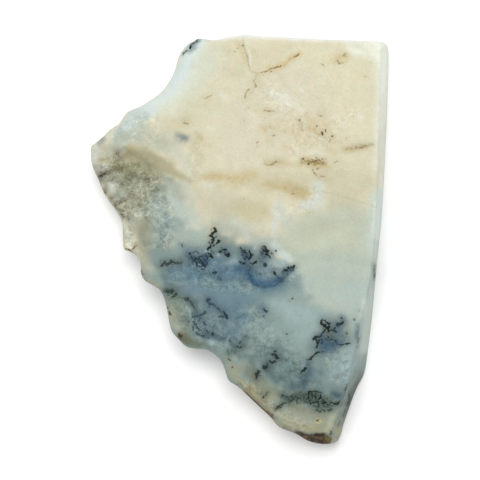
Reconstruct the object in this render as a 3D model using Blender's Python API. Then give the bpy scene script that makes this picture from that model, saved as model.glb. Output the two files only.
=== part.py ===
"""A slab of dendritic agate: one stone, sawn on its face, its back and two sides, broken and weathered elsewhere.

The slab lies on its sawn back. X runs across the face, Y along it and Z out of it. The origin is at the
middle of the outline's box, on the plane that the slab rests on. Sizes and heights are in millimetres,
and the mesh is made in metres.
"""

import bpy
import numpy as np
from mathutils import Vector, noise
from mathutils.geometry import delaunay_2d_cdt

MM = 0.001
NODE_NAME = "agate_slab"

THICKNESS = 8.0
BACK_CHAMFER = 0.35
BACK_EDGE_SMOOTHING = 1.2

# How coarse the mesh is: along the silhouette, along the sharp lines of the face and between them.
OUTLINE_STEP = 0.82
CREASE_STEP = 0.85
FACE_STEP = 1.08
WALL_LEVELS = (0.08, 0.22, 0.38, 0.54, 0.7, 0.84)
SPAN_SAMPLES = 16

# Each side of the outline, clockwise from the nub at the top left. The points lie on the silhouette seen
# from above, and the ridge, where there is one, is the sharp line that a flat cut or break makes with the
# face. The drop is how far the silhouette lies below the face at even stations along the side. A side
# without a ridge is worn round, or shelving like the rim of a shell, over its width. The undercut is how far
# the back's edge lies inside the silhouette, and the roughness is that of the wall under the silhouette.
SIDES = (
    {
        "name": "top_cut",
        "points": [
            (-6.2, 30.0), (-4.2, 29.8), (-3.0, 29.9), (-1.2, 30.4), (0.0, 30.5), (0.9, 30.6), (3.3, 30.4),
            (6.0, 30.3), (9.0, 30.1), (12.0, 29.9), (18.0, 29.7), (20.7, 29.6),
        ],
        "drop": (0.8, 0.8, 0.7, 0.6), "round_width": (0.8, 0.7, 0.6, 0.5),
        "undercut": 0.4, "roughness": 0.06,
    },
    {
        "name": "right_cut",
        "points": [
            (21.9, 29.25), (22.3, 28.6), (22.4, 27.3), (22.3, 21.7), (22.0, 14.2), (21.7, 8.2), (21.4, 3.3),
            (20.9, -1.5), (20.4, -6.8), (19.9, -12.0), (19.3, -16.8), (18.7, -20.3),
        ],
        "ridge": [
            (20.9, 29.1), (20.85, 26.0), (20.7, 19.0), (20.5, 12.0), (20.15, 3.0), (19.7, -3.5), (18.85, -8.5),
            (17.85, -12.3), (17.1, -16.4), (16.35, -20.5),
        ],
        "drop": (7.5, 7.6), "undercut": 0.12, "roughness": 0.0,
    },
    {
        "name": "lower_right_cut",
        "points": [(17.7, -22.2), (16.5, -25.3), (15.6, -27.9), (15.1, -29.6)],
        "ridge": [(16.35, -20.5), (15.3, -23.7), (14.3, -26.6), (13.6, -28.6)],
        "drop": (7.4, 7.2, 6.6), "undercut": 0.3, "roughness": 0.03,
    },
    {
        "name": "foot_rind",
        "points": [
            (14.5, -30.3), (13.5, -30.6), (12.2, -30.6), (10.2, -30.1), (8.3, -29.0), (6.2, -28.1),
        ],
        "ridge": [(13.6, -28.6), (11.9, -29.0), (10.2, -28.7), (8.6, -28.2), (7.2, -27.8)],
        "drop": (4.8, 4.4, 3.8, 1.6), "undercut": 0.9, "roughness": 0.3,
    },
    {
        "name": "lower_left_rind",
        "points": [(5.5, -27.6), (4.8, -26.7), (3.3, -25.3), (1.5, -23.6), (-0.3, -21.9)],
        "ridge": [(6.3, -27.3), (5.2, -26.2), (3.7, -24.8), (2.0, -23.1), (0.4, -21.6)],
        "drop": (1.6, 2.4, 2.6, 1.6), "undercut": 1.0, "roughness": 0.3,
    },
    {
        "name": "scalloped_break",
        "points": [
            (-1.7, -20.9), (-2.1, -19.8), (-2.6, -18.4), (-3.1, -17.7), (-4.3, -16.7), (-5.1, -16.35),
            (-6.9, -16.2), (-8.0, -15.9), (-9.1, -14.9), (-10.1, -13.7), (-10.5, -12.5), (-10.8, -10.7),
            (-11.3, -8.7), (-11.9, -7.5), (-12.9, -6.8), (-14.1, -6.1), (-14.7, -5.2), (-15.0, -2.8),
        ],
        "drop": (1.0, 1.5, 1.9, 1.2, 1.3, 1.0), "round_width": (0.9, 1.3, 2.1, 1.3, 1.5, 0.9),
        "undercut": 1.3, "roughness": 0.42,
    },
    {
        "name": "left_break",
        "points": [
            (-16.1, -1.9), (-17.3, -1.4), (-17.5, -0.3), (-17.6, 2.3), (-17.9, 3.3), (-19.1, 5.1), (-20.5, 7.2),
            (-21.2, 9.0), (-22.1, 11.1), (-22.3, 12.9), (-22.2, 14.0),
        ],
        "drop": (0.9, 0.8, 1.2, 1.4, 1.2), "round_width": (0.8, 0.8, 1.1, 1.2, 0.9),
        "undercut": 1.5, "roughness": 0.5,
    },
    {
        "name": "tip_facet",
        "points": [(-21.5, 14.6), (-20.4, 15.5), (-19.5, 16.4)],
        "ridge": [(-21.9, 13.5), (-20.8, 13.8), (-20.2, 14.7), (-19.8, 16.0)],
        "drop": (2.2, 2.6, 1.6), "undercut": 1.2, "roughness": 0.2,
    },
    {
        "name": "shell_break",
        "points": [
            (-18.0, 17.4), (-16.9, 19.0), (-15.0, 19.9), (-13.2, 21.0), (-11.7, 22.2), (-10.6, 23.6),
            (-9.8, 25.2), (-9.3, 26.9), (-8.9, 27.9),
        ],
        "drop": (1.2, 1.9, 2.5, 2.5, 2.2), "shell_width": (1.6, 2.6, 3.6, 3.8, 3.0),
        "undercut": 1.0, "roughness": 0.12,
    },
    {
        "name": "nub_facet",
        "points": [(-7.8, 29.2), (-6.9, 29.7)],
        "ridge": [(-7.9, 27.9), (-7.0, 28.7), (-6.1, 29.2)],
        "drop": (1.8, 1.8), "undercut": 0.8, "roughness": 0.12,
    },
)

# The curved lip where the sawn face stops and the broken hollow on the left begins.
HOLLOW_LIP = [
    (-19.6, 14.8), (-18.3, 14.6), (-16.5, 14.4), (-15.0, 14.1), (-13.5, 13.4), (-12.0, 12.5),
    (-10.5, 11.6), (-9.0, 10.5), (-8.0, 9.5), (-7.1, 8.4), (-6.3, 7.2),
]
HOLLOW_CENTRE = (-21.5, 5.2)
HOLLOW_REACH = (17.0, 12.5)
HOLLOW_DEPTH = 3.1
HOLLOW_SHAPE = 1.7
HOLLOW_LUMPS = {"height": 0.3, "length": 2.6, "octaves": 3, "seed": 3}
LIP_WIDTH = 0.8

# The flake broken from the top edge, between two cracks that meet at a point.
FLAKE_LEFT_CRACK = [(0.3, 31.5), (0.45, 29.1), (0.9, 27.5), (1.4, 25.4), (2.7, 24.8)]
FLAKE_RIGHT_CRACK = [(2.7, 24.8), (4.5, 25.3), (6.2, 26.0), (7.5, 27.0), (8.9, 27.8), (9.5, 29.2), (9.6, 31.5)]
FLAKE_DEPTH_AT_POINT = 0.14
FLAKE_DEPTH_AT_EDGE = 0.6
FLAKE_STEP_WIDTH = 0.3
TOP_EDGE_Y = 30.6

FACE_SWELL = {"height": 0.12, "length": 14.0, "octaves": 1, "seed": 1}
WALL_LUMPS = {"length": 2.4, "octaves": 3, "seed": 5}

STONE_COLOUR = (0.62, 0.63, 0.52, 1.0)
STONE_ROUGHNESS = 0.45


def smooth_step(value):
    """0 below 0, 1 above 1, and an even S between."""
    value = np.clip(value, 0.0, 1.0)
    return value * value * (3.0 - 2.0 * value)


def smooth_line(points, closed=False):
    """A dense smooth line through the points, as centripetal Catmull-Rom spans."""
    points = np.array(points, float)
    if closed:
        padded = np.concatenate([points[-1:], points, points[:2]])
    else:
        before = 2 * points[0] - points[1]
        after = 2 * points[-1] - points[-2]
        padded = np.concatenate([[before], points, [after]])
    line = []
    for a, b, c, d in zip(padded, padded[1:], padded[2:], padded[3:]):
        chords = [np.linalg.norm(q - p) ** 0.5 for p, q in ((a, b), (b, c), (c, d))]
        k0, k1, k2, k3 = np.cumsum([0.0] + chords)
        at = np.linspace(k1, k2, SPAN_SAMPLES, endpoint=False)[:, None]
        ab = (k1 - at) / (k1 - k0) * a + (at - k0) / (k1 - k0) * b
        bc = (k2 - at) / (k2 - k1) * b + (at - k1) / (k2 - k1) * c
        cd = (k3 - at) / (k3 - k2) * c + (at - k2) / (k3 - k2) * d
        abc = (k2 - at) / (k2 - k0) * ab + (at - k0) / (k2 - k0) * bc
        bcd = (k3 - at) / (k3 - k1) * bc + (at - k1) / (k3 - k1) * cd
        line.append((k2 - at) / (k2 - k1) * abc + (at - k1) / (k2 - k1) * bcd)
    if not closed:
        line.append(points[-1:])
    return np.concatenate(line)


def evenly_along(line, step, closed=False):
    """The line sampled again at about this step, and the row of the line that each sample lies at."""
    if closed:
        line = np.concatenate([line, line[:1]])
    lengths = np.concatenate([[0.0], np.cumsum(np.linalg.norm(np.diff(line, axis=0), axis=1))])
    count = max(2, round(lengths[-1] / step))
    at = np.linspace(0.0, lengths[-1], count + (not closed), endpoint=not closed)
    rows = np.interp(at, lengths, np.arange(len(line)))
    samples = np.stack([np.interp(at, lengths, line[:, k]) for k in (0, 1)], axis=1)
    return samples, rows


def nearest_on(line, points):
    """For each point, its distance to the line, how far along the line that is from 0 to 1, and its side."""
    run = np.diff(line, axis=0)
    length = np.linalg.norm(run, axis=1)
    along = np.concatenate([[0.0], np.cumsum(length)])
    distance = np.full(len(points), np.inf)
    place = np.zeros(len(points))
    side = np.ones(len(points))
    for k in np.flatnonzero(length):
        offset = points - line[k]
        share = np.clip(offset @ run[k] / length[k] ** 2, 0.0, 1.0)
        gap = np.linalg.norm(offset - share[:, None] * run[k], axis=1)
        nearer = gap < distance
        distance = np.where(nearer, gap, distance)
        place = np.where(nearer, (along[k] + share * length[k]) / along[-1], place)
        turn = run[k, 0] * offset[:, 1] - run[k, 1] * offset[:, 0]
        side = np.where(nearer, np.where(turn < 0.0, 1.0, -1.0), side)
    return distance, place, side


def inside(loop, points):
    """Which points lie inside a closed loop."""
    found = np.zeros(len(points), bool)
    for (x0, y0), (x1, y1) in zip(loop, np.roll(loop, -1, axis=0)):
        if y0 == y1:
            continue
        crosses = (y0 > points[:, 1]) != (y1 > points[:, 1])
        x = x0 + (points[:, 1] - y0) * (x1 - x0) / (y1 - y0)
        found ^= crosses & (points[:, 0] < x)
    return found


def lumps(points, length, octaves, seed):
    """Smooth seeded unevenness, from about -1 to 1, at points of two or three coordinates."""
    places = points / length + np.array((17.3, 7.9, 3.1))[:points.shape[1]] * seed
    return np.array([noise.fractal(Vector(place).to_3d(), 1.0, 2.0, octaves) for place in places])


def at_stations(values, place):
    """Values given at even stations from 0 to 1, read at these places."""
    return np.interp(place, np.linspace(0.0, 1.0, len(values)), values)


def outline_curve():
    """The silhouette as one dense closed line, the side each sample belongs to, and each side's stretch."""
    line = smooth_line([point for side in SIDES for point in side["points"]], closed=True)
    counts = [len(side["points"]) * SPAN_SAMPLES for side in SIDES]
    # A side owns half of the span to each of its neighbours.
    owner = np.roll(np.repeat(np.arange(len(SIDES)), counts), -(SPAN_SAMPLES // 2))
    stretches = []
    first = -(SPAN_SAMPLES // 2)
    for count in counts:
        stretches.append(line[np.arange(first, first + count + 1) % len(line)])
        first += count
    return line, owner, stretches


def side_fall(side, stretch, points):
    """How far one side lies below the face at each point."""
    distance, place, _ = nearest_on(stretch, points)
    drop = at_stations(side["drop"], place)
    if "ridge" in side:
        ridge = smooth_line(side["ridge"])
        from_ridge, _, _ = nearest_on(ridge, points)
        within = inside(np.concatenate([stretch, ridge[::-1]]), points) | (distance < 1e-6)
        return np.where(within, drop * from_ridge / (from_ridge + distance + 1e-9), 0.0)
    if "shell_width" in side:
        left = 1.0 - np.clip(distance / at_stations(side["shell_width"], place), 0.0, 1.0)
        return drop * left * left
    left = 1.0 - np.clip(distance / at_stations(side["round_width"], place), 0.0, 1.0)
    return drop * (1.0 - np.sqrt(1.0 - left * left))


def hollow_fall(points):
    """Depth of the broken hollow on the left, which starts at its lip."""
    distance, _, side = nearest_on(smooth_line(HOLLOW_LIP), points)
    past_lip = smooth_step(distance * side / LIP_WIDTH)
    offset = (points - HOLLOW_CENTRE) / HOLLOW_REACH
    bowl = np.clip(1.0 - (offset**2).sum(axis=1), 0.0, None) ** HOLLOW_SHAPE
    uneven = lumps(points, HOLLOW_LUMPS["length"], HOLLOW_LUMPS["octaves"], HOLLOW_LUMPS["seed"])
    return HOLLOW_DEPTH * bowl * past_lip * (1.0 + HOLLOW_LUMPS["height"] * uneven)


def flake_crack():
    return np.concatenate([smooth_line(FLAKE_LEFT_CRACK), smooth_line(FLAKE_RIGHT_CRACK)[1:]])


def flake_fall(points):
    """Depth of the flake scar, deeper towards the top edge."""
    crack = flake_crack()
    distance, _, _ = nearest_on(crack, points)
    lowest = crack[:, 1].min()
    rise = np.clip((points[:, 1] - lowest) / (TOP_EDGE_Y - lowest), 0.0, 1.0)
    depth = FLAKE_DEPTH_AT_POINT + (FLAKE_DEPTH_AT_EDGE - FLAKE_DEPTH_AT_POINT) * rise**1.5
    return np.where(inside(crack, points), depth * smooth_step(distance / FLAKE_STEP_WIDTH), 0.0)


def face_height(points, stretches):
    """Height over the back of the upper surface, at points inside the silhouette or on it."""
    fall = np.zeros(len(points))
    for side, stretch in zip(SIDES, stretches):
        fall = np.maximum(fall, side_fall(side, stretch, points))
    swell = FACE_SWELL["height"] * lumps(points, FACE_SWELL["length"], FACE_SWELL["octaves"], FACE_SWELL["seed"])
    return THICKNESS + swell - fall - hollow_fall(points) - flake_fall(points)


def evened_round(values, reach):
    """Values round a closed loop of samples, evened over this many samples to each side."""
    offsets = np.arange(-3 * reach, 3 * reach + 1)
    weights = np.exp(-0.5 * (offsets / reach) ** 2)
    rows = (np.arange(len(values))[:, None] + offsets) % len(values)
    return np.tensordot(values[rows], weights / weights.sum(), axes=([1], [0]))


def outward_normals(loop):
    """Unit normals of a clockwise loop, pointing out of it."""
    run = np.roll(loop, -1, axis=0) - np.roll(loop, 1, axis=0)
    normals = np.stack([-run[:, 1], run[:, 0]], axis=1)
    return normals / np.linalg.norm(normals, axis=1)[:, None]


def wall_values(key, owner):
    """One number of the sides, for every sample of the loop and evened over the joins."""
    return evened_round(np.array([side[key] for side in SIDES])[owner], 1)


def back_outline(loop, owner):
    """Edge of the flat back: the evened silhouette, drawn in by each side's undercut."""
    evened = evened_round(loop, max(1, round(BACK_EDGE_SMOOTHING / OUTLINE_STEP)))
    return evened - outward_normals(evened) * wall_values("undercut", owner)[:, None]


def wall_rings(loop, owner, rim_height):
    """Rings of points from below the silhouette's rim down to the edge of the back."""
    back = back_outline(loop, owner)
    outward = outward_normals(loop)
    roughness = wall_values("roughness", owner)
    rings = []
    for level in WALL_LEVELS:
        plan = loop + (back - loop) * level**1.6
        height = BACK_CHAMFER + (rim_height - BACK_CHAMFER) * (1.0 - level)
        places = np.concatenate([plan, height[:, None]], axis=1)
        # The wall is only ever worn inwards, so that the silhouette stays as drawn.
        uneven = 1.0 + 1.6 * lumps(places, WALL_LUMPS["length"], WALL_LUMPS["octaves"], WALL_LUMPS["seed"])
        worn = roughness * np.clip(uneven, 0.0, None) * np.sin(np.pi * level) ** 0.7
        rings.append(np.concatenate([plan - outward * worn[:, None], height[:, None]], axis=1))
    above_chamfer = loop + (back - loop) * 0.93
    rings.append(np.concatenate([above_chamfer, np.full((len(loop), 1), BACK_CHAMFER)], axis=1))
    rings.append(np.concatenate([back, np.zeros((len(loop), 1))], axis=1))
    return rings


def crease_lines():
    """The sharp lines of the face, which the mesh's edges follow."""
    lines = [smooth_line(side["ridge"]) for side in SIDES if "ridge" in side]
    return lines + [smooth_line(HOLLOW_LIP), flake_crack()]


def crease_points(loop):
    """Points along the sharp lines inside the silhouette, and the edges that join them."""
    closed_loop = np.concatenate([loop, loop[:1]])
    points = []
    edges = []
    for line in crease_lines():
        samples, _ = evenly_along(line, CREASE_STEP)
        clear = inside(loop, samples) & (nearest_on(closed_loop, samples)[0] > 0.4 * CREASE_STEP)
        previous = None
        for sample, is_clear in zip(samples, clear):
            if not is_clear:
                previous = None
                continue
            near = [k for k, point in enumerate(points) if np.linalg.norm(point - sample) < 0.5 * CREASE_STEP]
            if near:
                current = near[0]
            else:
                current = len(points)
                points.append(sample)
            if previous is not None and previous != current:
                edges.append((previous, current))
            previous = current
    return np.array(points), edges


def grid_points(loop, creases):
    """A staggered grid of points over the face, clear of the silhouette and of the sharp lines."""
    low = loop.min(axis=0)
    high = loop.max(axis=0)
    rows = []
    for k, y in enumerate(np.arange(low[1], high[1], FACE_STEP * 0.866)):
        x = np.arange(low[0] + (k % 2) * FACE_STEP / 2.0, high[0], FACE_STEP)
        rows.append(np.stack([x, np.full(len(x), y)], axis=1))
    grid = np.concatenate(rows)
    grid = grid[inside(loop, grid)]
    clear = nearest_on(np.concatenate([loop, loop[:1]]), grid)[0] > 0.55 * FACE_STEP
    for crease in creases:
        clear &= np.linalg.norm(grid - crease, axis=1) > 0.6 * FACE_STEP
    return grid[clear]


def triangulate(loop, inner, edges):
    """Triangles over the loop and the points inside it, as rows of indices into both, facing up."""
    points = np.concatenate([loop, inner])
    shifted = [(len(loop) + a, len(loop) + b) for a, b in edges]
    found = delaunay_2d_cdt([Vector(point) for point in points], shifted, [list(range(len(loop)))], 1, 1e-6)
    source = [sources[0] for sources in found[3]]
    triangles = np.array([[source[k] for k in face] for face in found[2]])
    a, b, c = (points[triangles[:, k]] for k in range(3))
    turn = (b[:, 0] - a[:, 0]) * (c[:, 1] - a[:, 1]) - (b[:, 1] - a[:, 1]) * (c[:, 0] - a[:, 0])
    triangles[turn < 0.0] = triangles[turn < 0.0][:, ::-1]
    return triangles


def slab_mesh():
    """The whole stone, as vertices in millimetres and triangles."""
    curve, owner, stretches = outline_curve()
    loop, rows = evenly_along(curve, OUTLINE_STEP, closed=True)
    owner = owner[rows.astype(int) % len(owner)]
    count = len(loop)

    creases, edges = crease_points(loop)
    inner = np.concatenate([creases, grid_points(loop, creases)])
    plan = np.concatenate([loop, inner])
    height = face_height(plan, stretches)
    vertices = [np.concatenate([plan, height[:, None]], axis=1)]
    faces = [triangulate(loop, inner, edges)]

    above = np.arange(count)
    first = len(plan)
    for ring in wall_rings(loop, owner, height[:count]):
        vertices.append(ring)
        below = first + np.arange(count)
        faces.append(np.stack([above, np.roll(above, -1), np.roll(below, -1)], axis=1))
        faces.append(np.stack([above, np.roll(below, -1), below], axis=1))
        above = below
        first += count
    back = triangulate(ring[:, :2], np.empty((0, 2)), [])
    faces.append(above[back][:, ::-1])
    return np.concatenate(vertices), np.concatenate(faces)


def stone_material():
    material = bpy.data.materials.new("agate")
    material.use_nodes = True
    shader = material.node_tree.nodes["Principled BSDF"]
    shader.inputs["Base Color"].default_value = STONE_COLOUR
    shader.inputs["Roughness"].default_value = STONE_ROUGHNESS
    shader.inputs["Metallic"].default_value = 0.0
    material.diffuse_color = STONE_COLOUR
    return material


def main():
    for obj in list(bpy.data.objects):
        bpy.data.objects.remove(obj)
    vertices, faces = slab_mesh()
    mesh = bpy.data.meshes.new(NODE_NAME)
    mesh.from_pydata((vertices * MM).tolist(), [], faces.tolist())
    mesh.validate()
    mesh.materials.append(stone_material())
    slab = bpy.data.objects.new(NODE_NAME, mesh)
    bpy.context.scene.collection.objects.link(slab)


main()
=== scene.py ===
import math
from collections import namedtuple
from itertools import product

import bpy
import numpy as np
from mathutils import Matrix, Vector, noise
from mathutils.geometry import delaunay_2d_cdt


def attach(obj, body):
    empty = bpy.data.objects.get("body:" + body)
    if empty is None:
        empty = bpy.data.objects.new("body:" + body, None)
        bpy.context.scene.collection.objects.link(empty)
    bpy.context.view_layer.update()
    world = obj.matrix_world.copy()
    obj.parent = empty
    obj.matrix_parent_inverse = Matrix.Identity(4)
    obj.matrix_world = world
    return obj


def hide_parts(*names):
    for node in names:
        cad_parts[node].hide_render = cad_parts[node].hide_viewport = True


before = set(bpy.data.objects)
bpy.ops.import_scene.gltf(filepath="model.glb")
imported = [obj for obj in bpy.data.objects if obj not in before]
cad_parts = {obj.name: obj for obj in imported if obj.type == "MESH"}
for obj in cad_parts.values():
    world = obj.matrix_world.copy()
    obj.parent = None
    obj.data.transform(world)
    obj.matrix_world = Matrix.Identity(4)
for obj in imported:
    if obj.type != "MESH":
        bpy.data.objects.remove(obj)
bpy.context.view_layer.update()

# The stone's own sizes, in millimetres and with its back at zero height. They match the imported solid.
MM = 0.001
THICKNESS = 8.0
BACK_CHAMFER = 0.35
BACK_EDGE_SMOOTHING = 1.2
JOIN_SMOOTHING = 0.8
SPAN_SAMPLES = 16

# The silhouette, side by side and clockwise from the top left, as places across and up from the middle.
# Drops and widths are given at even stations along a side. A side slopes down to its points from a ridge,
# or is rounded over a width, or is scooped like a shell.
SIDES = (
    {
        "name": "top_cut",
        "points": [
            (-6.2, 30.0), (-4.2, 29.8), (-3.0, 29.9), (-1.2, 30.4), (0.0, 30.5), (0.9, 30.6), (3.3, 30.4),
            (6.0, 30.3), (9.0, 30.1), (12.0, 29.9), (18.0, 29.7), (20.7, 29.6),
        ],
        "drop": (0.8, 0.8, 0.7, 0.6), "round_width": (0.8, 0.7, 0.6, 0.5),
        "undercut": 0.4, "roughness": 0.06,
    },
    {
        "name": "right_cut",
        "points": [
            (21.9, 29.25), (22.3, 28.6), (22.4, 27.3), (22.3, 21.7), (22.0, 14.2), (21.7, 8.2), (21.4, 3.3),
            (20.9, -1.5), (20.4, -6.8), (19.9, -12.0), (19.3, -16.8), (18.7, -20.3),
        ],
        "ridge": [
            (20.9, 29.1), (20.85, 26.0), (20.7, 19.0), (20.5, 12.0), (20.15, 3.0), (19.7, -3.5), (18.85, -8.5),
            (17.85, -12.3), (17.1, -16.4), (16.35, -20.5),
        ],
        "drop": (1.0, 6.0) + (7.5,) * 28, "undercut": 0.12, "roughness": 0.0,
    },
    {
        "name": "lower_right_cut",
        "points": [(17.7, -22.2), (16.5, -25.3), (15.6, -27.9), (15.1, -29.6)],
        "ridge": [(16.35, -20.5), (15.3, -23.7), (14.3, -26.6), (13.6, -28.6)],
        "drop": (7.4, 7.2, 6.6), "undercut": 0.3, "roughness": 0.03,
    },
    {
        "name": "foot_rind",
        "points": [
            (14.5, -30.3), (13.5, -30.6), (12.2, -30.6), (10.2, -30.1), (8.3, -29.0), (6.2, -28.1),
        ],
        "ridge": [(13.6, -28.6), (11.9, -29.0), (10.2, -28.7), (8.6, -28.2), (7.2, -27.8)],
        "drop": (4.8, 4.4, 3.8, 1.6), "undercut": 0.9, "roughness": 0.3,
    },
    {
        "name": "lower_left_rind",
        "points": [(5.5, -27.6), (4.8, -26.7), (3.3, -25.3), (1.5, -23.6), (-0.3, -21.9)],
        "ridge": [(6.3, -27.3), (5.2, -26.2), (3.7, -24.8), (2.0, -23.1), (0.4, -21.6)],
        "drop": (1.6, 2.4, 2.6, 1.6), "undercut": 1.0, "roughness": 0.3,
    },
    {
        "name": "scalloped_break",
        "points": [
            (-1.7, -20.9), (-2.1, -19.8), (-2.6, -18.4), (-3.1, -17.7), (-4.3, -16.7), (-5.1, -16.35),
            (-6.9, -16.2), (-8.0, -15.9), (-9.1, -14.9), (-10.1, -13.7), (-10.5, -12.5), (-10.8, -10.7),
            (-11.3, -8.7), (-11.9, -7.5), (-12.9, -6.8), (-14.1, -6.1), (-14.7, -5.2), (-15.0, -2.8),
        ],
        "drop": (1.0, 1.5, 1.9, 1.2, 1.3, 1.0), "round_width": (0.9, 1.3, 2.1, 1.3, 1.5, 0.9),
        "undercut": 1.3, "roughness": 0.42,
    },
    {
        "name": "left_break",
        "points": [
            (-16.1, -1.9), (-17.3, -1.4), (-17.5, -0.3), (-17.6, 2.3), (-17.9, 3.3), (-19.1, 5.1), (-20.5, 7.2),
            (-21.2, 9.0), (-22.1, 11.1), (-22.3, 12.9), (-22.2, 14.0),
        ],
        "drop": (0.9, 0.8, 1.2, 1.4, 1.2), "round_width": (0.8, 0.8, 1.1, 1.2, 0.9),
        "undercut": 1.5, "roughness": 0.5,
    },
    {
        "name": "tip_facet",
        "points": [(-21.5, 14.6), (-20.4, 15.5), (-19.5, 16.4)],
        "ridge": [(-21.9, 13.5), (-20.8, 13.8), (-20.2, 14.7), (-19.8, 16.0)],
        "drop": (2.2, 2.6, 1.6), "undercut": 1.2, "roughness": 0.2,
    },
    {
        "name": "shell_break",
        "points": [
            (-18.0, 17.4), (-16.9, 19.0), (-15.0, 19.9), (-13.2, 21.0), (-11.7, 22.2), (-10.6, 23.6),
            (-9.8, 25.2), (-9.3, 26.9), (-8.9, 27.9),
        ],
        "drop": (1.2, 1.9, 2.5, 2.5, 2.2), "shell_width": (1.6, 2.6, 3.6, 3.8, 3.0),
        "undercut": 1.0, "roughness": 0.12,
    },
    {
        "name": "nub_facet",
        "points": [(-7.8, 29.2), (-6.9, 29.7)],
        "ridge": [(-7.9, 27.9), (-7.0, 28.7), (-6.1, 29.2)],
        "drop": (1.8, 1.8), "undercut": 0.8, "roughness": 0.12,
    },
)

# The broken hollow on the left: a bowl that starts at its lip.
HOLLOW_LIP = [
    (-19.6, 14.8), (-18.3, 14.6), (-16.5, 14.4), (-15.0, 14.1), (-13.5, 13.4), (-12.0, 12.5),
    (-10.5, 11.6), (-9.0, 10.5), (-8.0, 9.5), (-7.1, 8.4), (-6.3, 7.2),
]
HOLLOW_CENTRE = (-21.5, 5.2)
HOLLOW_REACH = (17.0, 12.5)
HOLLOW_DEPTH = 3.1
HOLLOW_SHAPE = 1.7
HOLLOW_LUMPS = {"height": 0.3, "length": 2.6, "octaves": 3, "seed": 3}
LIP_WIDTH = (1.7, 2.4, 3.6)

# The flake scar at the top edge, between two cracks that meet at its point.
FLAKE_LEFT_CRACK = [(0.3, 31.5), (0.45, 29.1), (0.9, 27.5), (1.4, 25.4), (2.7, 24.8)]
FLAKE_RIGHT_CRACK = [
    (2.7, 24.8), (4.5, 25.3), (6.2, 26.0), (7.5, 27.0), (8.9, 27.8), (9.5, 29.2), (9.6, 31.5),
]
FLAKE_DEPTH_AT_POINT = 0.14
FLAKE_DEPTH_AT_EDGE = 0.6
FLAKE_DEEPENING = 1.5
FLAKE_STEP_WIDTH = 0.16
TOP_EDGE_Y = 30.6

# Unevenness of the face and the walls. Walls lean in and are most worn half way down.
FACE_SWELL = {"height": 0.12, "length": 14.0, "octaves": 1, "seed": 1}
WALL_LUMPS = {"length": 2.4, "octaves": 3, "seed": 5}
WALL_LUMP_SHARE = 1.6
WALL_GRIT = {"share": 0.22, "length": 0.7, "octaves": 3, "seed": 8, "lowest": -0.2}
WALL_LEAN = 1.6
WALL_BULGE = 0.7
WALL_END = 0.93
CHAMFER_RINGS = ((WALL_END, 1.0), (0.96, 0.5), (0.985, 0.2))

# How fine the mesh is: at the rim and sharp lines, and over plain, broken and inked parts of the face.
RIM_STEP = 0.25
CREASE_STEP = 0.25
PLAIN_STEP = 0.36
BROKEN_STEP = 0.22
INK_STEP = 0.11
BACK_STEP = 0.5
WALL_RINGS = 24
HEX_ROW = 0.866
WELD_SHARE = 0.5
RIM_CLEARANCE = 0.5
CREASE_CLEARANCE = 0.55
CREASE_TO_RIM = 0.4
INK_MARGIN = 0.22
BROKEN_MARGIN = 0.3
PLAIN_MARGIN = 0.34

# Marks are placed on a grid laid over the face, 480 cells each way with its origin at the top left.
CELL = 0.15
GRID_CELLS = 480
GRID_MIDDLE = GRID_CELLS / 2.0

# How far from a side or a crack the face can still be lowered by it.
SIDE_REACH = 5.0
CRACK_REACH = 1.0
TOUCHING = 1e-6
NOT_ZERO = 1e-9

# Shifts that keep the noise of different seeds and octaves apart, and the numbers that mix a lattice.
LUMP_SHIFT = (17.3, 7.9, 3.1)
OCTAVE_SHIFT = (5.3, 9.1, 2.7)
OCTAVE_SEED = 31
MOTTLE_RANGE = 1.6
MIX_X, MIX_Y, MIX_Z, MIX_SEED = 374761393, 668265263, 1442695041, 1274126177
LOW_BITS = 0xFFFFFFFF
SHORT_BITS = 0xFFFF


def smooth_step(value):
    """0 below 0, 1 above 1, and an even S between."""
    value = np.clip(value, 0.0, 1.0)
    return value * value * (3.0 - 2.0 * value)


def smooth_line(points, closed=False):
    """A dense smooth line through the points, as centripetal Catmull-Rom spans."""
    points = np.array(points, float)
    if closed:
        padded = np.concatenate([points[-1:], points, points[:2]])
    else:
        before = 2 * points[0] - points[1]
        after = 2 * points[-1] - points[-2]
        padded = np.concatenate([[before], points, [after]])
    line = []
    for a, b, c, d in zip(padded, padded[1:], padded[2:], padded[3:]):
        chords = [np.linalg.norm(q - p) ** 0.5 for p, q in ((a, b), (b, c), (c, d))]
        k0, k1, k2, k3 = np.cumsum([0.0] + chords)
        at = np.linspace(k1, k2, SPAN_SAMPLES, endpoint=False)[:, None]
        ab = (k1 - at) / (k1 - k0) * a + (at - k0) / (k1 - k0) * b
        bc = (k2 - at) / (k2 - k1) * b + (at - k1) / (k2 - k1) * c
        cd = (k3 - at) / (k3 - k2) * c + (at - k2) / (k3 - k2) * d
        abc = (k2 - at) / (k2 - k0) * ab + (at - k0) / (k2 - k0) * bc
        bcd = (k3 - at) / (k3 - k1) * bc + (at - k1) / (k3 - k1) * cd
        line.append((k2 - at) / (k2 - k1) * abc + (at - k1) / (k2 - k1) * bcd)
    if not closed:
        line.append(points[-1:])
    return np.concatenate(line)


def evenly_along(line, step, closed=False):
    """The line sampled again at about this step, and the row of the line that each sample lies at."""
    if closed:
        line = np.concatenate([line, line[:1]])
    lengths = np.concatenate([[0.0], np.cumsum(np.linalg.norm(np.diff(line, axis=0), axis=1))])
    count = max(2, round(lengths[-1] / step))
    at = np.linspace(0.0, lengths[-1], count + (not closed), endpoint=not closed)
    rows = np.interp(at, lengths, np.arange(len(line)))
    samples = np.stack([np.interp(at, lengths, line[:, k]) for k in (0, 1)], axis=1)
    return samples, rows


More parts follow.
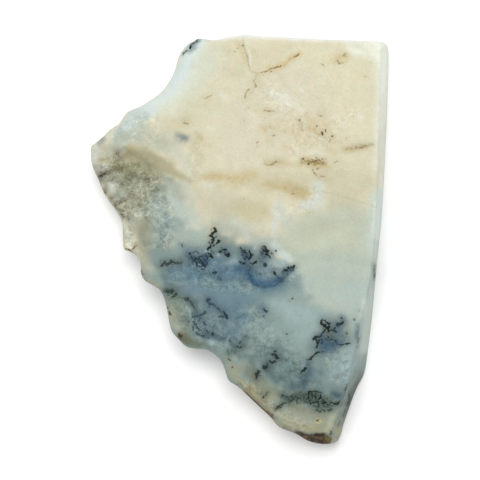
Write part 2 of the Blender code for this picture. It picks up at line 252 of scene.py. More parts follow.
def nearest_on(line, points):
    """For each point, its distance to the line, how far along the line that is from 0 to 1, and its side."""
    run = np.diff(line, axis=0)
    length = np.linalg.norm(run, axis=1)
    along = np.concatenate([[0.0], np.cumsum(length)])
    distance = np.full(len(points), np.inf)
    place = np.zeros(len(points))
    side = np.ones(len(points))
    for k in np.flatnonzero(length):
        offset = points - line[k]
        share = np.clip(offset @ run[k] / length[k] ** 2, 0.0, 1.0)
        gap = offset - share[:, None] * run[k]
        gap = np.sqrt(gap[:, 0] ** 2 + gap[:, 1] ** 2)
        nearer = gap < distance
        distance = np.where(nearer, gap, distance)
        place = np.where(nearer, (along[k] + share * length[k]) / along[-1], place)
        turn = run[k, 0] * offset[:, 1] - run[k, 1] * offset[:, 0]
        side = np.where(nearer, np.where(turn < 0.0, 1.0, -1.0), side)
    return distance, place, side


def near_line(line, points, reach):
    """nearest_on, worked out only for the points within this reach of the line's box."""
    close = np.all((points > line.min(axis=0) - reach) & (points < line.max(axis=0) + reach), axis=1)
    distance = np.full(len(points), np.inf)
    place = np.zeros(len(points))
    side = np.ones(len(points))
    distance[close], place[close], side[close] = nearest_on(line, points[close])
    return distance, place, side


def inside(loop, points):
    """Which points lie inside a closed loop."""
    found = np.zeros(len(points), bool)
    for (x0, y0), (x1, y1) in zip(loop, np.roll(loop, -1, axis=0)):
        if y0 == y1:
            continue
        crosses = (y0 > points[:, 1]) != (y1 > points[:, 1])
        x = x0 + (points[:, 1] - y0) * (x1 - x0) / (y1 - y0)
        found ^= crosses & (points[:, 0] < x)
    return found


def lumps(points, length, octaves, seed):
    """Smooth seeded unevenness, from about -1 to 1, at points of two or three coordinates."""
    places = points / length + np.array(LUMP_SHIFT)[:points.shape[1]] * seed
    return np.array([noise.fractal(Vector(place).to_3d(), 1.0, 2.0, octaves) for place in places.tolist()])


def lumps_of(kind, points):
    """The unevenness described by one of the sets of numbers above."""
    return lumps(points, kind["length"], kind["octaves"], kind["seed"])


def hashed(x, y, z, seed):
    """A repeatable number from 0 to 1 for each cell of a lattice."""
    mixed = (x * MIX_X + y * MIX_Y + z * MIX_Z + seed * MIX_SEED) & LOW_BITS
    mixed = ((mixed ^ (mixed >> 13)) * MIX_SEED) & LOW_BITS
    mixed = ((mixed ^ (mixed >> 16)) * MIX_Y) & LOW_BITS
    return ((mixed >> 8) & SHORT_BITS) / SHORT_BITS


def mottle(points, length, octaves=4, seed=0, stretch=(1.0, 1.0, 1.0), gain=0.5):
    """Quick cloudy unevenness from about -1 to 1 at points of three coordinates."""
    places = points / (length * np.array(stretch))
    total = np.zeros(len(points))
    weight = 0.0
    for octave in range(octaves):
        moved = places * 2.0**octave + np.array(OCTAVE_SHIFT) * (octave + 1)
        cell = np.floor(moved).astype(np.int64)
        share = smooth_step(moved - cell)
        value = np.zeros(len(points))
        for corner in product((0, 1), repeat=3):
            part = np.ones(len(points))
            for axis in range(3):
                part = part * (share[:, axis] if corner[axis] else 1.0 - share[:, axis])
            corners = (cell[:, axis] + corner[axis] for axis in range(3))
            value += part * hashed(*corners, seed + OCTAVE_SEED * octave)
        total += (2.0 * value - 1.0) * gain**octave
        weight += gain**octave
    return total / weight * MOTTLE_RANGE


def at_stations(values, place):
    """Values given at even stations from 0 to 1, read at these places."""
    return np.interp(place, np.linspace(0.0, 1.0, len(values)), values)


def outline_curve():
    """The silhouette as one dense closed line, the side each sample belongs to, and each side's stretch."""
    line = smooth_line([point for side in SIDES for point in side["points"]], closed=True)
    counts = [len(side["points"]) * SPAN_SAMPLES for side in SIDES]
    owner = np.roll(np.repeat(np.arange(len(SIDES)), counts), -(SPAN_SAMPLES // 2))
    stretches = []
    first = -(SPAN_SAMPLES // 2)
    for count in counts:
        stretches.append(line[np.arange(first, first + count + 1) % len(line)])
        first += count
    return line, owner, stretches


def side_fall(side, stretch, points):
    """How far one side lies below the face at each point."""
    distance, place, _ = near_line(stretch, points, SIDE_REACH)
    drop = at_stations(side["drop"], place)
    if "ridge" in side:
        ridge = smooth_line(side["ridge"])
        from_ridge, _, _ = near_line(ridge, points, SIDE_REACH)
        within = inside(np.concatenate([stretch, ridge[::-1]]), points) | (distance < TOUCHING)
        down, across = from_ridge[within], from_ridge[within] + distance[within] + NOT_ZERO
        fall = np.zeros(len(points))
        fall[within] = drop[within] * down / across
        return fall
    if "shell_width" in side:
        left = 1.0 - np.clip(distance / at_stations(side["shell_width"], place), 0.0, 1.0)
        return drop * left * left
    left = 1.0 - np.clip(distance / at_stations(side["round_width"], place), 0.0, 1.0)
    return drop * (1.0 - np.sqrt(1.0 - left * left))


def hollow_fall(points):
    """Depth of the broken hollow on the left, which starts at its lip."""
    distance, place, side = nearest_on(smooth_line(HOLLOW_LIP), points)
    past_lip = smooth_step(distance * side / at_stations(LIP_WIDTH, place))
    offset = (points - HOLLOW_CENTRE) / HOLLOW_REACH
    bowl = np.clip(1.0 - (offset**2).sum(axis=1), 0.0, None) ** HOLLOW_SHAPE
    return HOLLOW_DEPTH * bowl * past_lip * (1.0 + HOLLOW_LUMPS["height"] * lumps_of(HOLLOW_LUMPS, points))


def flake_crack():
    """The crack round the flake scar, from the top edge down to its point and up again."""
    return np.concatenate([smooth_line(FLAKE_LEFT_CRACK), smooth_line(FLAKE_RIGHT_CRACK)[1:]])


def flake_fall(points):
    """Depth of the flake scar, deeper towards the top edge."""
    crack = flake_crack()
    distance, _, _ = near_line(crack, points, CRACK_REACH)
    lowest = crack[:, 1].min()
    rise = np.clip((points[:, 1] - lowest) / (TOP_EDGE_Y - lowest), 0.0, 1.0)
    depth = FLAKE_DEPTH_AT_POINT + (FLAKE_DEPTH_AT_EDGE - FLAKE_DEPTH_AT_POINT) * rise**FLAKE_DEEPENING
    return np.where(inside(crack, points), depth * smooth_step(distance / FLAKE_STEP_WIDTH), 0.0)


def face_height(points, stretches):
    """Height over the back of the upper surface, at points inside the silhouette or on it."""
    fall = np.zeros(len(points))
    for side, stretch in zip(SIDES, stretches):
        fall = np.maximum(fall, side_fall(side, stretch, points))
    swell = FACE_SWELL["height"] * lumps_of(FACE_SWELL, points)
    return THICKNESS + swell - fall - hollow_fall(points) - flake_fall(points)


def evened_round(values, reach):
    """Values round a closed loop of samples, evened over this many samples to each side."""
    offsets = np.arange(-3 * reach, 3 * reach + 1)
    weights = np.exp(-0.5 * (offsets / reach) ** 2)
    rows = (np.arange(len(values))[:, None] + offsets) % len(values)
    return np.tensordot(values[rows], weights / weights.sum(), axes=([1], [0]))


def outward_normals(loop):
    """Unit normals of a clockwise loop, pointing out of it."""
    run = np.roll(loop, -1, axis=0) - np.roll(loop, 1, axis=0)
    normals = np.stack([-run[:, 1], run[:, 0]], axis=1)
    return normals / np.linalg.norm(normals, axis=1)[:, None]


def wall_values(key, owner):
    """One number of the sides, for every sample of the loop and evened over the joins."""
    return evened_round(np.array([side[key] for side in SIDES])[owner], round(JOIN_SMOOTHING / RIM_STEP))


def back_outline(loop, owner):
    """Edge of the flat back: the evened silhouette, drawn in by each side's undercut."""
    evened = evened_round(loop, round(BACK_EDGE_SMOOTHING / RIM_STEP))
    return evened - outward_normals(evened) * wall_values("undercut", owner)[:, None]


def wall_rings(loop, owner, rim_height):
    """Rings of points from below the silhouette's rim down to the edge of the back."""
    back = back_outline(loop, owner)
    outward = outward_normals(evened_round(loop, 2))
    roughness = wall_values("roughness", owner)
    rings = []
    for level in np.linspace(0.0, WALL_END, WALL_RINGS)[1:]:
        plan = loop + (back - loop) * level**WALL_LEAN
        height = BACK_CHAMFER + (rim_height - BACK_CHAMFER) * (1.0 - level)
        places = np.concatenate([plan, height[:, None]], axis=1)
        middle = np.sin(np.pi * level)
        uneven = 1.0 + WALL_LUMP_SHARE * lumps_of(WALL_LUMPS, places)
        worn = roughness * np.clip(uneven, 0.0, None) * middle**WALL_BULGE
        grains = mottle(places, WALL_GRIT["length"], WALL_GRIT["octaves"], WALL_GRIT["seed"])
        grit = WALL_GRIT["share"] * roughness * np.clip(grains, WALL_GRIT["lowest"], 1.0) * middle
        rings.append(np.concatenate([plan - outward * (worn + grit)[:, None], height[:, None]], axis=1))
    for level, height in CHAMFER_RINGS:
        plan = loop + (back - loop) * level
        rings.append(np.concatenate([plan, np.full((len(loop), 1), height * BACK_CHAMFER)], axis=1))
    rings.append(np.concatenate([back, np.zeros((len(loop), 1))], axis=1))
    return rings


def rim_distance(loop, points):
    """How far each point lies from a closed loop."""
    return nearest_on(np.concatenate([loop, loop[:1]]), points)[0]


def crease_points(loop):
    """Points along the face's sharp lines, inside the silhouette, and the edges that join them."""
    lines = [smooth_line(side["ridge"]) for side in SIDES if "ridge" in side]
    lines += [smooth_line(HOLLOW_LIP), flake_crack()]
    points = np.empty((0, 2))
    edges = []
    for line in lines:
        samples, _ = evenly_along(line, CREASE_STEP)
        clear = inside(loop, samples) & (rim_distance(loop, samples) > CREASE_TO_RIM * CREASE_STEP)
        previous = None
        for sample, is_clear in zip(samples, clear):
            if not is_clear:
                previous = None
                continue
            gaps = np.linalg.norm(points - sample, axis=1)
            if len(points) and gaps.min() < WELD_SHARE * CREASE_STEP:
                current = int(gaps.argmin())
            else:
                current = len(points)
                points = np.concatenate([points, [sample]])
            if previous is not None and previous != current:
                edges.append((previous, current))
            previous = current
    return points, edges


def hex_grid(low, high, step):
    """A staggered grid of points over a box."""
    rows = []
    for k, y in enumerate(np.arange(low[1], high[1], step * HEX_ROW)):
        x = np.arange(low[0] + (k % 2) * step / 2.0, high[0], step)
        rows.append(np.stack([x, np.full(len(x), y)], axis=1))
    return np.concatenate(rows)


def near_any(points, discs, margin):
    """Which points lie within the margin of any disc given as x, y and radius."""
    order = np.argsort(points[:, 0], kind="stable")
    x_sorted = points[order, 0]
    found = np.zeros(len(points), bool)
    for x, y, radius in discs:
        reach = radius + margin
        rows = order[np.searchsorted(x_sorted, x - reach):np.searchsorted(x_sorted, x + reach)]
        rows = rows[np.abs(points[rows, 1] - y) < reach]
        found[rows[(points[rows, 0] - x) ** 2 + (points[rows, 1] - y) ** 2 < reach * reach]] = True
    return found


def graded_points(loop, creases, broken, ink):
    """Points inside a loop: fine round the ink, less fine where the stone is broken, and plain elsewhere."""
    low = loop.min(axis=0)
    high = loop.max(axis=0)
    fine = hex_grid(low, high, INK_STEP)
    fine = fine[near_any(fine, ink, INK_MARGIN)]
    medium = hex_grid(low, high, BROKEN_STEP)
    medium = medium[broken(medium) & ~near_any(medium, ink, BROKEN_MARGIN)]
    plain = hex_grid(low, high, PLAIN_STEP)
    plain = plain[~broken(plain) & ~near_any(plain, ink, PLAIN_MARGIN)]
    crease_discs = np.concatenate([creases, np.zeros((len(creases), 1))], axis=1)
    kept = []
    for grid, step in ((fine, INK_STEP), (medium, BROKEN_STEP), (plain, PLAIN_STEP)):
        grid = grid[inside(loop, grid)]
        spacing = min(step, CREASE_STEP)
        grid = grid[rim_distance(loop, grid) > RIM_CLEARANCE * spacing]
        kept.append(grid[~near_any(grid, crease_discs, CREASE_CLEARANCE * spacing)])
    return np.concatenate(kept)


def triangulate(loop, inner, edges):
    """Triangles over the loop and the points inside it, as rows of indices into both, facing up."""
    points = np.concatenate([loop, inner])
    shifted = [(len(loop) + a, len(loop) + b) for a, b in edges]
    border = [list(range(len(loop)))]
    found = delaunay_2d_cdt([Vector(point) for point in points.tolist()], shifted, border, 1, TOUCHING)
    source = [sources[0] for sources in found[3]]
    triangles = np.array([[source[k] for k in face] for face in found[2]])
    a, b, c = (points[triangles[:, k]] for k in range(3))
    turn = (b[:, 0] - a[:, 0]) * (c[:, 1] - a[:, 1]) - (b[:, 1] - a[:, 1]) * (c[:, 0] - a[:, 0])
    triangles[turn < 0.0] = triangles[turn < 0.0][:, ::-1]
    return triangles


def linear(colour):
    """A colour of 0 to 255 as linear light."""
    share = np.array(colour, float) / 255.0
    return np.where(share <= 0.04045, share / 12.92, ((share + 0.055) / 1.055) ** 2.4)


def on_grid(path):
    """Marks of the grid in millimetres: places, and a radius where there is one."""
    path = np.array(path, float)
    placed = path * CELL
    placed[:, 0] -= GRID_MIDDLE * CELL
    placed[:, 1] = GRID_MIDDLE * CELL - placed[:, 1]
    return placed


def chain_depth(path, plan):
    """How deep each point lies inside a chain of discs that taper into each other."""
    discs = on_grid(path)
    if len(discs) == 1:
        return discs[0, 2] - np.linalg.norm(plan - discs[0, :2], axis=1)
    depth = np.full(len(plan), -np.inf)
    for start, end in zip(discs, discs[1:]):
        run = end[:2] - start[:2]
        share = np.clip((plan - start[:2]) @ run / (run @ run), 0.0, 1.0)
        gap = np.linalg.norm(plan - start[:2] - share[:, None] * run, axis=1)
        depth = np.maximum(depth, start[2] + share * (end[2] - start[2]) - gap)
    return depth


# How bright white looks under the lamps: stains and inks are given in the colours that they show there.
LIGHT_LEVEL = 1.4
BODY_COLOUR = (224, 219, 192)

# Stains through the stone, painted in this order, among them a few rows of painted light and painted
# shade that are marked where they stand. Each is a chain of discs on the grid (across, down, radius),
# with its colour, how strong it is, the width over which it fades, how far its edge wanders and the size
# of those wanderings, all three in millimetres.
STAINS = (
    # The cream cap.
    ("pinkish_cream", (225, 219, 196), 0.6, 6.0, 2.0, 6.0, [(285, 95, 30), (250, 150, 26)]),
    ("yellow_cream", (233, 227, 196), 0.65, 6.0, 2.0, 5.0, [
        (232, 46, 8), (300, 50, 9), (345, 66, 18), (350, 110, 12),
    ]),
    ("yellow_left", (217, 215, 185), 0.6, 4.0, 1.6, 4.0, [(206, 96, 9), (188, 112, 9), (178, 123, 9)]),
    ("yellow_shoulder", (220, 215, 186), 0.6, 3.0, 1.5, 4.0, [(222, 56, 7), (236, 64, 9), (232, 76, 8)]),
    ("shoulder_mint", (222, 227, 207), 0.85, 4.0, 1.2, 5.0, [
        (212, 56, 9), (202, 72, 12), (190, 92, 10), (166, 112, 8),
    ]),
    # Painted highlight: the rounded top edge, painted near white where it catches the lamp.
    ("top_rim_highlight", (252, 255, 255), 0.95, 1.1, 0.2, 3.0, [
        (214, 39, 3.2), (246, 35, 3.4), (300, 37.5, 3.4), (376, 41.5, 3.2),
    ]),
    # Painted light: the band inside the right ridge, painted lighter for the light that shines through the thin
    # edge.
    ("right_margin_top_lit", (239, 243, 228), 0.9, 2.6, 0.5, 4.0, [(386, 60, 9), (385, 110, 9), (382, 165, 8)]),
    ("cream_ridge", (228, 224, 204), 0.5, 2.0, 1.0, 2.5, [(286, 106, 5), (296, 112, 6), (300, 150, 5)]),
    ("khaki_right", (207, 203, 174), 0.75, 5.0, 1.2, 5.0, [(335, 176, 12), (350, 196, 15), (366, 186, 9)]),
    ("khaki_left", (203, 200, 176), 0.75, 4.0, 1.6, 4.0, [(200, 192, 6), (220, 196, 10), (236, 206, 8)]),
    ("tan_column", (207, 200, 167), 0.7, 1.6, 1.0, 3.0, [
        (201, 138, 3), (198, 156, 4), (197, 170, 4), (196, 188, 4),
    ]),
    ("tan_left", (211, 204, 171), 0.6, 2.4, 1.2, 3.0, [(172, 124, 5), (188, 124, 5)]),
    ("tan_band", (210, 198, 158), 0.85, 2.0, 1.0, 3.0, [
        (202, 178, 4), (212, 178, 5), (232, 180, 6), (252, 179, 5),
    ]),
    ("tan_band_heart", (204, 188, 143), 0.7, 1.4, 0.8, 2.0, [(206, 178, 1), (212, 178, 2.5), (222, 179, 1)]),
    ("tan_glow", (206, 197, 163), 0.6, 4.0, 1.6, 5.0, [(262, 186, 9), (290, 186, 10), (325, 178, 8)]),
    ("tan_heart", (202, 187, 145), 0.85, 1.2, 0.6, 2.0, [
        (268, 185, 3), (282, 187, 5), (294, 190, 6), (303, 193, 5),
    ]),
    ("tan_heart_dark", (202, 184, 140), 0.6, 0.8, 0.5, 1.2, [(292, 190, 2.5), (303, 191, 2.5)]),
    ("tan_square", (205, 198, 163), 0.85, 2.0, 0.7, 2.2, [(236, 210, 7), (250, 211, 11), (262, 212, 10)]),
    ("tan_square_left", (210, 205, 177), 0.7, 3.0, 1.0, 2.6, [(206, 209, 6), (222, 210, 8)]),
    ("khaki_low", (202, 200, 174), 0.8, 2.4, 0.8, 2.4, [(334, 201, 6), (346, 206, 6)]),
    ("column_grey", (196, 203, 188), 0.8, 2.0, 0.8, 2.0, [(196, 216, 5), (200, 226, 6)]),
    ("tan_line_high", (209, 199, 161), 0.7, 1.6, 0.8, 2.5, [(266, 163, 3), (284, 165, 4), (298, 166, 3)]),
    ("tan_upper_soft", (219, 209, 176), 0.6, 3.0, 1.2, 3.0, [(292, 127, 6), (312, 134, 9), (330, 141, 7)]),
    ("tan_upper", (216, 204, 169), 0.75, 1.6, 0.9, 2.0, [
        (298, 124, 3), (306, 131, 6), (322, 137, 6), (332, 141, 4),
    ]),
    ("tan_upper_left", (214, 202, 164), 0.6, 2.0, 1.0, 2.5, [(262, 131, 3), (276, 131, 4), (286, 130, 3)]),
    ("tan_streak", (215, 205, 167), 0.6, 1.6, 0.8, 3.0, [(258, 112, 2.5), (270, 113, 3)]),
    ("tan_dot_left", (222, 212, 176), 0.65, 1.0, 0.5, 1.5, [(206, 98, 1.6), (210, 97, 1.6)]),
    ("tan_right_up", (216, 204, 173), 0.5, 1.4, 0.8, 2.0, [(322, 114, 3), (326, 120, 3)]),
    ("sugar_patch", (231, 231, 217), 0.5, 1.4, 0.8, 1.6, [(272, 97, 3), (284, 98, 4), (288, 106, 4)]),
    ("sugar_grey", (200, 202, 186), 0.7, 0.6, 0.3, 1.2, [(278.5, 99, 1.4), (280, 100, 1)]),
    ("smudge_top", (224, 211, 165), 0.7, 1.4, 0.8, 2.0, [(332, 62, 3), (340, 61, 5), (346, 57, 3)]),
    ("smudge_top_right", (220, 213, 173), 0.6, 1.2, 0.6, 2.0, [(363, 79, 3)]),
    ("dirt_glow", (214, 192, 140), 0.8, 1.0, 0.6, 1.4, [
        (302, 161, 2), (312, 163, 4), (322, 163, 4), (328, 166, 1.5),
    ]),
    ("dirt_glow_right", (211, 194, 151), 0.75, 1.0, 0.5, 2.0, [
        (342, 151, 1.5), (356, 149, 3), (364, 147, 2.5), (371, 145, 1.5),
    ]),
    ("flake_inside", (221, 212, 183), 0.8, 1.6, 0.5, 3.0, [(258, 60, 7), (275, 54, 8), (290, 48, 4)]),
    ("crack_stain", (223, 205, 158), 0.75, 0.9, 0.4, 1.5, [
        (263, 73, 2), (275, 70, 2.6), (284, 66, 2.4), (292, 59, 2.8), (299, 55, 2),
    ]),
    ("crack_stain_left", (214, 201, 158), 0.7, 1.0, 0.5, 1.5, [(239, 46, 3), (244, 55, 2.4), (247, 64, 1.6)]),
    ("crack_stain_down", (217, 208, 177), 0.65, 1.0, 0.6, 1.5, [
        (256, 76, 2.5), (254, 86, 2.5), (246, 94, 1.8), (244, 101, 1.6),
    ]),
    ("crack_stain_far", (214, 206, 174), 0.5, 1.8, 0.8, 2.0, [(228, 74, 3), (240, 76, 3)]),
    # The pale break at the upper left: bluish-white stone, lighter still with painted light where its thin edge
    # faces the lamp.
    ("shell_pale_lit", (222, 235, 232), 0.95, 2.6, 0.6, 4.0, [
        (201, 46, 7), (190, 58, 10), (183, 72, 10), (175, 86, 8), (162, 99, 6), (150, 106, 6),
    ]),
    ("shell_low", (212, 224, 220), 0.9, 2.2, 0.8, 3.0, [(150, 110, 5), (136, 116, 8), (126, 124, 7)]),
    ("left_grey", (196, 209, 203), 0.95, 2.0, 0.8, 3.0, [
        (138, 121, 8), (128, 127, 8), (116, 133, 7), (132, 134, 7), (118, 142, 5),
    ]),
    ("shoulder_grey", (190, 196, 178), 0.8, 3.4, 1.2, 3.0, [(146, 130, 8), (158, 139, 9), (170, 148, 7)]),
    ("shoulder_shade", (182, 185, 163), 0.6, 1.8, 0.8, 2.5, [(154, 144, 3), (166, 146, 4)]),
    ("pale_under_spot", (210, 212, 194), 0.8, 2.4, 1.0, 3.0, [(176, 156, 6), (184, 163, 5), (187, 172, 3)]),
    ("grey_over_lip", (184, 191, 174), 0.85, 1.2, 0.6, 1.8, [(120, 139, 5), (131, 138, 5), (142, 141, 4)]),
    # The hollow: a tan wedge under its lip, beige and grey below, paler and bluer to the right.
    ("left_base", (171, 177, 161), 1.0, 1.2, 0.5, 2.5, [
        (108, 170, 12), (126, 178, 22), (146, 200, 30), (160, 228, 24), (164, 246, 20),
    ]),
    ("blue_band", (164, 177, 168), 1.0, 1.8, 0.8, 2.0, [
        (158, 204, 7), (164, 216, 9), (168, 228, 10), (160, 240, 8),
    ]),
    ("hollow_beige", (168, 170, 149), 1.0, 1.8, 0.8, 2.0, [
        (112, 178, 7), (132, 184, 11), (146, 186, 8), (136, 198, 9), (122, 204, 5),
    ]),
    ("hollow_beige_up", (165, 164, 139), 0.95, 1.6, 0.7, 1.8, [
        (110, 163, 6), (128, 168, 7), (146, 173, 7), (158, 177, 5),
    ]),
    ("hollow_tan", (176, 171, 140), 1.0, 1.2, 0.4, 1.8, [
        (122, 154, 5.5), (134, 155.5, 8.5), (146, 160, 8.5), (155, 165.5, 7),
    ]),
    # Painted highlight along the hollow's lip, over its light tan stone.
    ("hollow_tan_lip_highlight", (192, 187, 158), 0.7, 0.8, 0.3, 1.4, [(128, 149, 2), (140, 150, 2.4), (150, 155, 2)]),
    ("hollow_tan_right", (188, 182, 150), 0.95, 0.9, 0.2, 1.6, [
        (151, 160.5, 6), (160, 165, 6), (169, 169.6, 5), (179, 175.6, 3.6), (190, 182, 2.2),
    ]),
    ("wedge_under", (186, 192, 176), 0.95, 1.4, 0.7, 1.8, [
        (166, 179, 4), (174, 184, 5), (180, 192, 6), (180, 202, 7), (176, 210, 7),
    ]),
    ("lip_left", (212, 214, 196), 0.9, 1.0, 0.4, 1.5, [(100, 154, 6), (107, 154, 5), (106, 166, 3.5)]),
    ("tip_pale", (211, 216, 205), 0.95, 0.9, 0.4, 2.0, [(95, 151, 3.5), (96, 160, 3)]),
    ("tip_olive", (176, 172, 138), 0.8, 0.9, 0.4, 1.5, [(104, 160, 2.4), (108, 161, 2)]),
    # Painted shade: the small facet at the left tip slopes steeply away and is painted darker over its
    # grey-blue stone.
    ("tip_face", (152, 167, 161), 0.85, 1.0, 0.5, 1.6, [(99, 143, 2.6), (103.5, 139.4, 3.4)]),
    ("hollow_olive", (142, 141, 112), 0.9, 1.0, 0.5, 1.4, [
        (113, 168, 2.5), (121, 168, 4), (130, 170, 4), (138, 167, 3),
    ]),
    ("hollow_shade", (142, 147, 128), 0.85, 0.8, 0.6, 1.2, [
        (128, 178, 2), (136, 176, 2.5), (143, 179, 1.8), (152, 180, 2),
    ]),
    ("wedge_start", (204, 206, 184), 0.95, 1.1, 0.6, 1.4, [(115, 147, 4), (120, 149.4, 3.6)]),
    ("wedge_left", (200, 194, 158), 0.85, 1.0, 0.6, 1.4, [
        (131, 149.6, 3.2), (126, 151, 2.6), (138, 152.6, 2.2),
    ]),
    ("wedge_left_dark", (162, 158, 126), 0.7, 0.8, 0.6, 1.2, [(126, 150, 1.6), (134, 156, 2), (124, 157, 2)]),
    ("rim_light", (212, 214, 194), 0.85, 1.0, 0.6, 1.4, [(112, 150, 3), (118, 153, 2.6), (124, 152, 2)]),
    ("wedge_low", (150, 152, 126), 0.75, 1.0, 0.6, 1.4, [(142, 168, 3), (149, 172, 3), (147, 161, 1.6)]),
    ("rim_amber", (170, 164, 134), 0.75, 1.0, 0.7, 1.2, [(103.6, 162, 3), (108, 159, 2)]),
    ("rim_crumbs", (148, 144, 118), 0.3, 1.2, 0.7, 1.2, [(125.6, 210, 2), (129.6, 218, 2.4)]),
    ("hollow_shade_low", (166, 176, 161), 0.85, 0.9, 0.6, 1.3, [
        (152, 189, 3), (160, 191, 3.5), (155, 196, 2.5),
    ]),
    ("hollow_light", (176, 180, 160), 0.8, 0.8, 0.6, 1.2, [
        (138, 187, 2), (146, 188, 2.6), (154, 183, 2), (164, 182, 3),
    ]),
    ("hollow_light_low", (190, 192, 174), 0.85, 0.8, 0.6, 1.2, [
        (132, 213, 2.5), (138, 218, 4), (130, 221, 3),
    ]),
    ("hollow_dark_low", (172, 172, 152), 0.8, 0.8, 0.6, 1.2, [(114, 201, 2.5), (122, 204, 3), (132, 203, 2)]),
    ("rim_beige", (166, 167, 148), 0.8, 1.0, 0.5, 1.4, [(104, 182, 3), (110, 182, 3), (106, 190, 2)]),
    ("bump_pale", (212, 215, 202), 0.95, 0.6, 0.3, 1.2, [(112, 184, 2.4), (114, 188, 3), (113, 192, 2.2)]),
    ("bump_low", (180, 184, 163), 0.8, 0.7, 0.4, 1.2, [(122, 193, 2.4), (126, 196, 2)]),
    ("corner_cream", (204, 205, 186), 0.95, 1.2, 0.5, 1.8, [(130, 227, 5), (127, 239, 6), (135, 242, 4)]),
    ("corner_white", (216, 219, 208), 0.8, 0.7, 0.3, 1.5, [(129, 245, 2.2), (136, 254, 1.8)]),
    ("corner_olive", (172, 171, 140), 0.9, 1.2, 0.6, 1.6, [(137, 228, 2.6), (144, 226, 4)]),
    ("pale_column", (206, 209, 192), 0.85, 1.6, 0.8, 2.2, [(186, 186, 3.5), (190, 198, 5), (192, 210, 5)]),
    ("blue_band_pale", (192, 204, 194), 0.9, 1.4, 0.8, 2.0, [
        (172, 192, 3), (171, 201, 5), (177, 205, 6), (184, 212, 6), (190, 224, 6),
    ]),
    ("blue_band_mid", (160, 177, 174), 0.85, 1.2, 0.7, 1.8, [(168, 221, 5), (176, 224, 5), (184, 224, 3)]),
    ("blue_band_dark", (132, 149, 143), 0.85, 1.0, 0.5, 1.6, [
        (156, 228, 2.5), (164, 228, 3), (158, 250, 4), (164, 256, 3),
    ]),
    ("under_pale", (170, 184, 176), 0.85, 1.6, 0.8, 2.5, [
        (176, 237, 4), (188, 234, 5), (202, 236, 5), (205, 230, 4),
    ]),
    ("olive_band", (148, 151, 130), 0.85, 2.4, 1.0, 2.0, [
        (150, 220, 3), (147, 232, 4), (144, 246, 4.5), (149, 262, 4),
    ]),
    ("edge_olive", (180, 182, 165), 0.9, 1.2, 0.5, 2.0, [(143, 262, 2.5), (144, 272, 4), (152, 282, 4)]),
    # The middle, greener to the right.
    ("middle_khaki", (186, 191, 176), 0.95, 3.0, 1.4, 3.5, [
        (208, 218, 6), (224, 226, 8), (244, 236, 9), (272, 244, 10), (290, 254, 7),
    ]),
    ("middle_green", (197, 203, 184), 1.0, 3.6, 1.2, 5.0, [(300, 236, 18), (335, 232, 20), (362, 236, 24)]),
    ("middle_green_warm", (196, 198, 173), 0.6, 3.0, 1.2, 3.0, [(308, 228, 4), (330, 228, 5)]),
    ("white_patch", (215, 220, 208), 0.95, 1.0, 0.9, 2.2, [
        (318, 183, 4), (319, 195, 6.5), (314, 205, 7), (303, 207, 4),
    ]),
    ("white_patch_left", (214, 218, 206), 0.9, 1.2, 0.8, 2.2, [
        (278, 203, 4), (280, 215, 5), (275, 227, 4), (272, 236, 3),
    ]),
    ("white_patch_low", (206, 211, 197), 0.85, 1.4, 0.8, 2.2, [
        (234, 222, 3.5), (243, 228, 4), (246, 237, 3),
    ]),
    # Painted light, as above, lower down the band inside the right ridge.
    ("right_margin_low_lit", (208, 220, 212), 0.95, 2.6, 0.5, 4.0, [
        (379, 200, 9), (376, 240, 10), (372, 280, 10),
    ]),
    ("middle_low", (186, 197, 182), 1.0, 3.0, 0.8, 3.0, [(300, 256, 6), (335, 260, 9), (364, 262, 9)]),
    # The lower stone.
    ("lower_stone", (146, 164, 158), 1.0, 3.4, 1.0, 4.0, [
        (168, 300, 40), (205, 330, 72), (262, 362, 72), (330, 380, 76),
    ]),
    ("lower_green", (185, 199, 191), 1.0, 4.0, 1.0, 5.0, [(300, 282, 14), (330, 286, 24), (362, 290, 22)]),
    ("lower_green_streak", (188, 197, 181), 0.6, 2.0, 0.8, 3.0, [
        (316, 272, 4), (340, 276, 5), (358, 274, 4),
    ]),
    ("lower_green_right", (183, 197, 190), 0.85, 4.0, 1.0, 4.0, [
        (345, 306, 10), (362, 330, 10), (362, 350, 8),
    ]),
    ("lower_pale", (163, 184, 181), 0.95, 3.0, 1.0, 3.0, [
        (280, 306, 8), (298, 318, 12), (314, 316, 8), (308, 330, 6), (300, 334, 6),
    ]),
    ("lower_middle", (149, 168, 165), 0.8, 2.0, 0.8, 2.5, [(280, 334, 6), (296, 344, 6), (308, 340, 5)]),
    ("blue_ground", (132, 152, 150), 1.0, 1.6, 0.6, 2.0, [
        (158, 260, 6), (190, 260, 14), (220, 262, 16), (250, 266, 16), (280, 274, 12), (294, 284, 8),
    ]),
    ("right_ground_wide", (185, 197, 184), 0.9, 5.0, 1.4, 3.0, [(306, 262, 5), (312, 276, 7), (320, 290, 7)]),
    ("lower_gap", (151, 170, 166), 0.95, 1.6, 0.7, 2.0, [(278, 296, 5), (292, 294, 6), (304, 298, 5)]),
    ("ground_up", (167, 182, 173), 1.0, 1.6, 0.8, 2.0, [(178, 243, 4), (192, 240, 6), (206, 240, 5)]),
    ("teal_far_left", (108, 124, 119), 0.85, 1.6, 0.7, 1.8, [(243, 353, 3), (252, 358, 4), (262, 354, 4)]),
    ("lower_teal", (116, 136, 133), 0.95, 3.0, 1.4, 2.5, [
        (258, 350, 7), (272, 358, 11), (290, 366, 12), (300, 374, 11),
    ]),
    ("teal_left", (94, 115, 115), 0.9, 1.6, 0.8, 2.0, [(266, 362, 5), (271, 371, 6), (280, 379, 5)]),
    ("teal_right", (78, 100, 109), 0.95, 2.4, 1.1, 2.0, [
        (312, 364, 4), (309, 375, 6), (303, 384, 6), (294, 386, 5),
    ]),
    ("tree_haze", (128, 148, 146), 0.9, 1.4, 0.6, 1.8, [
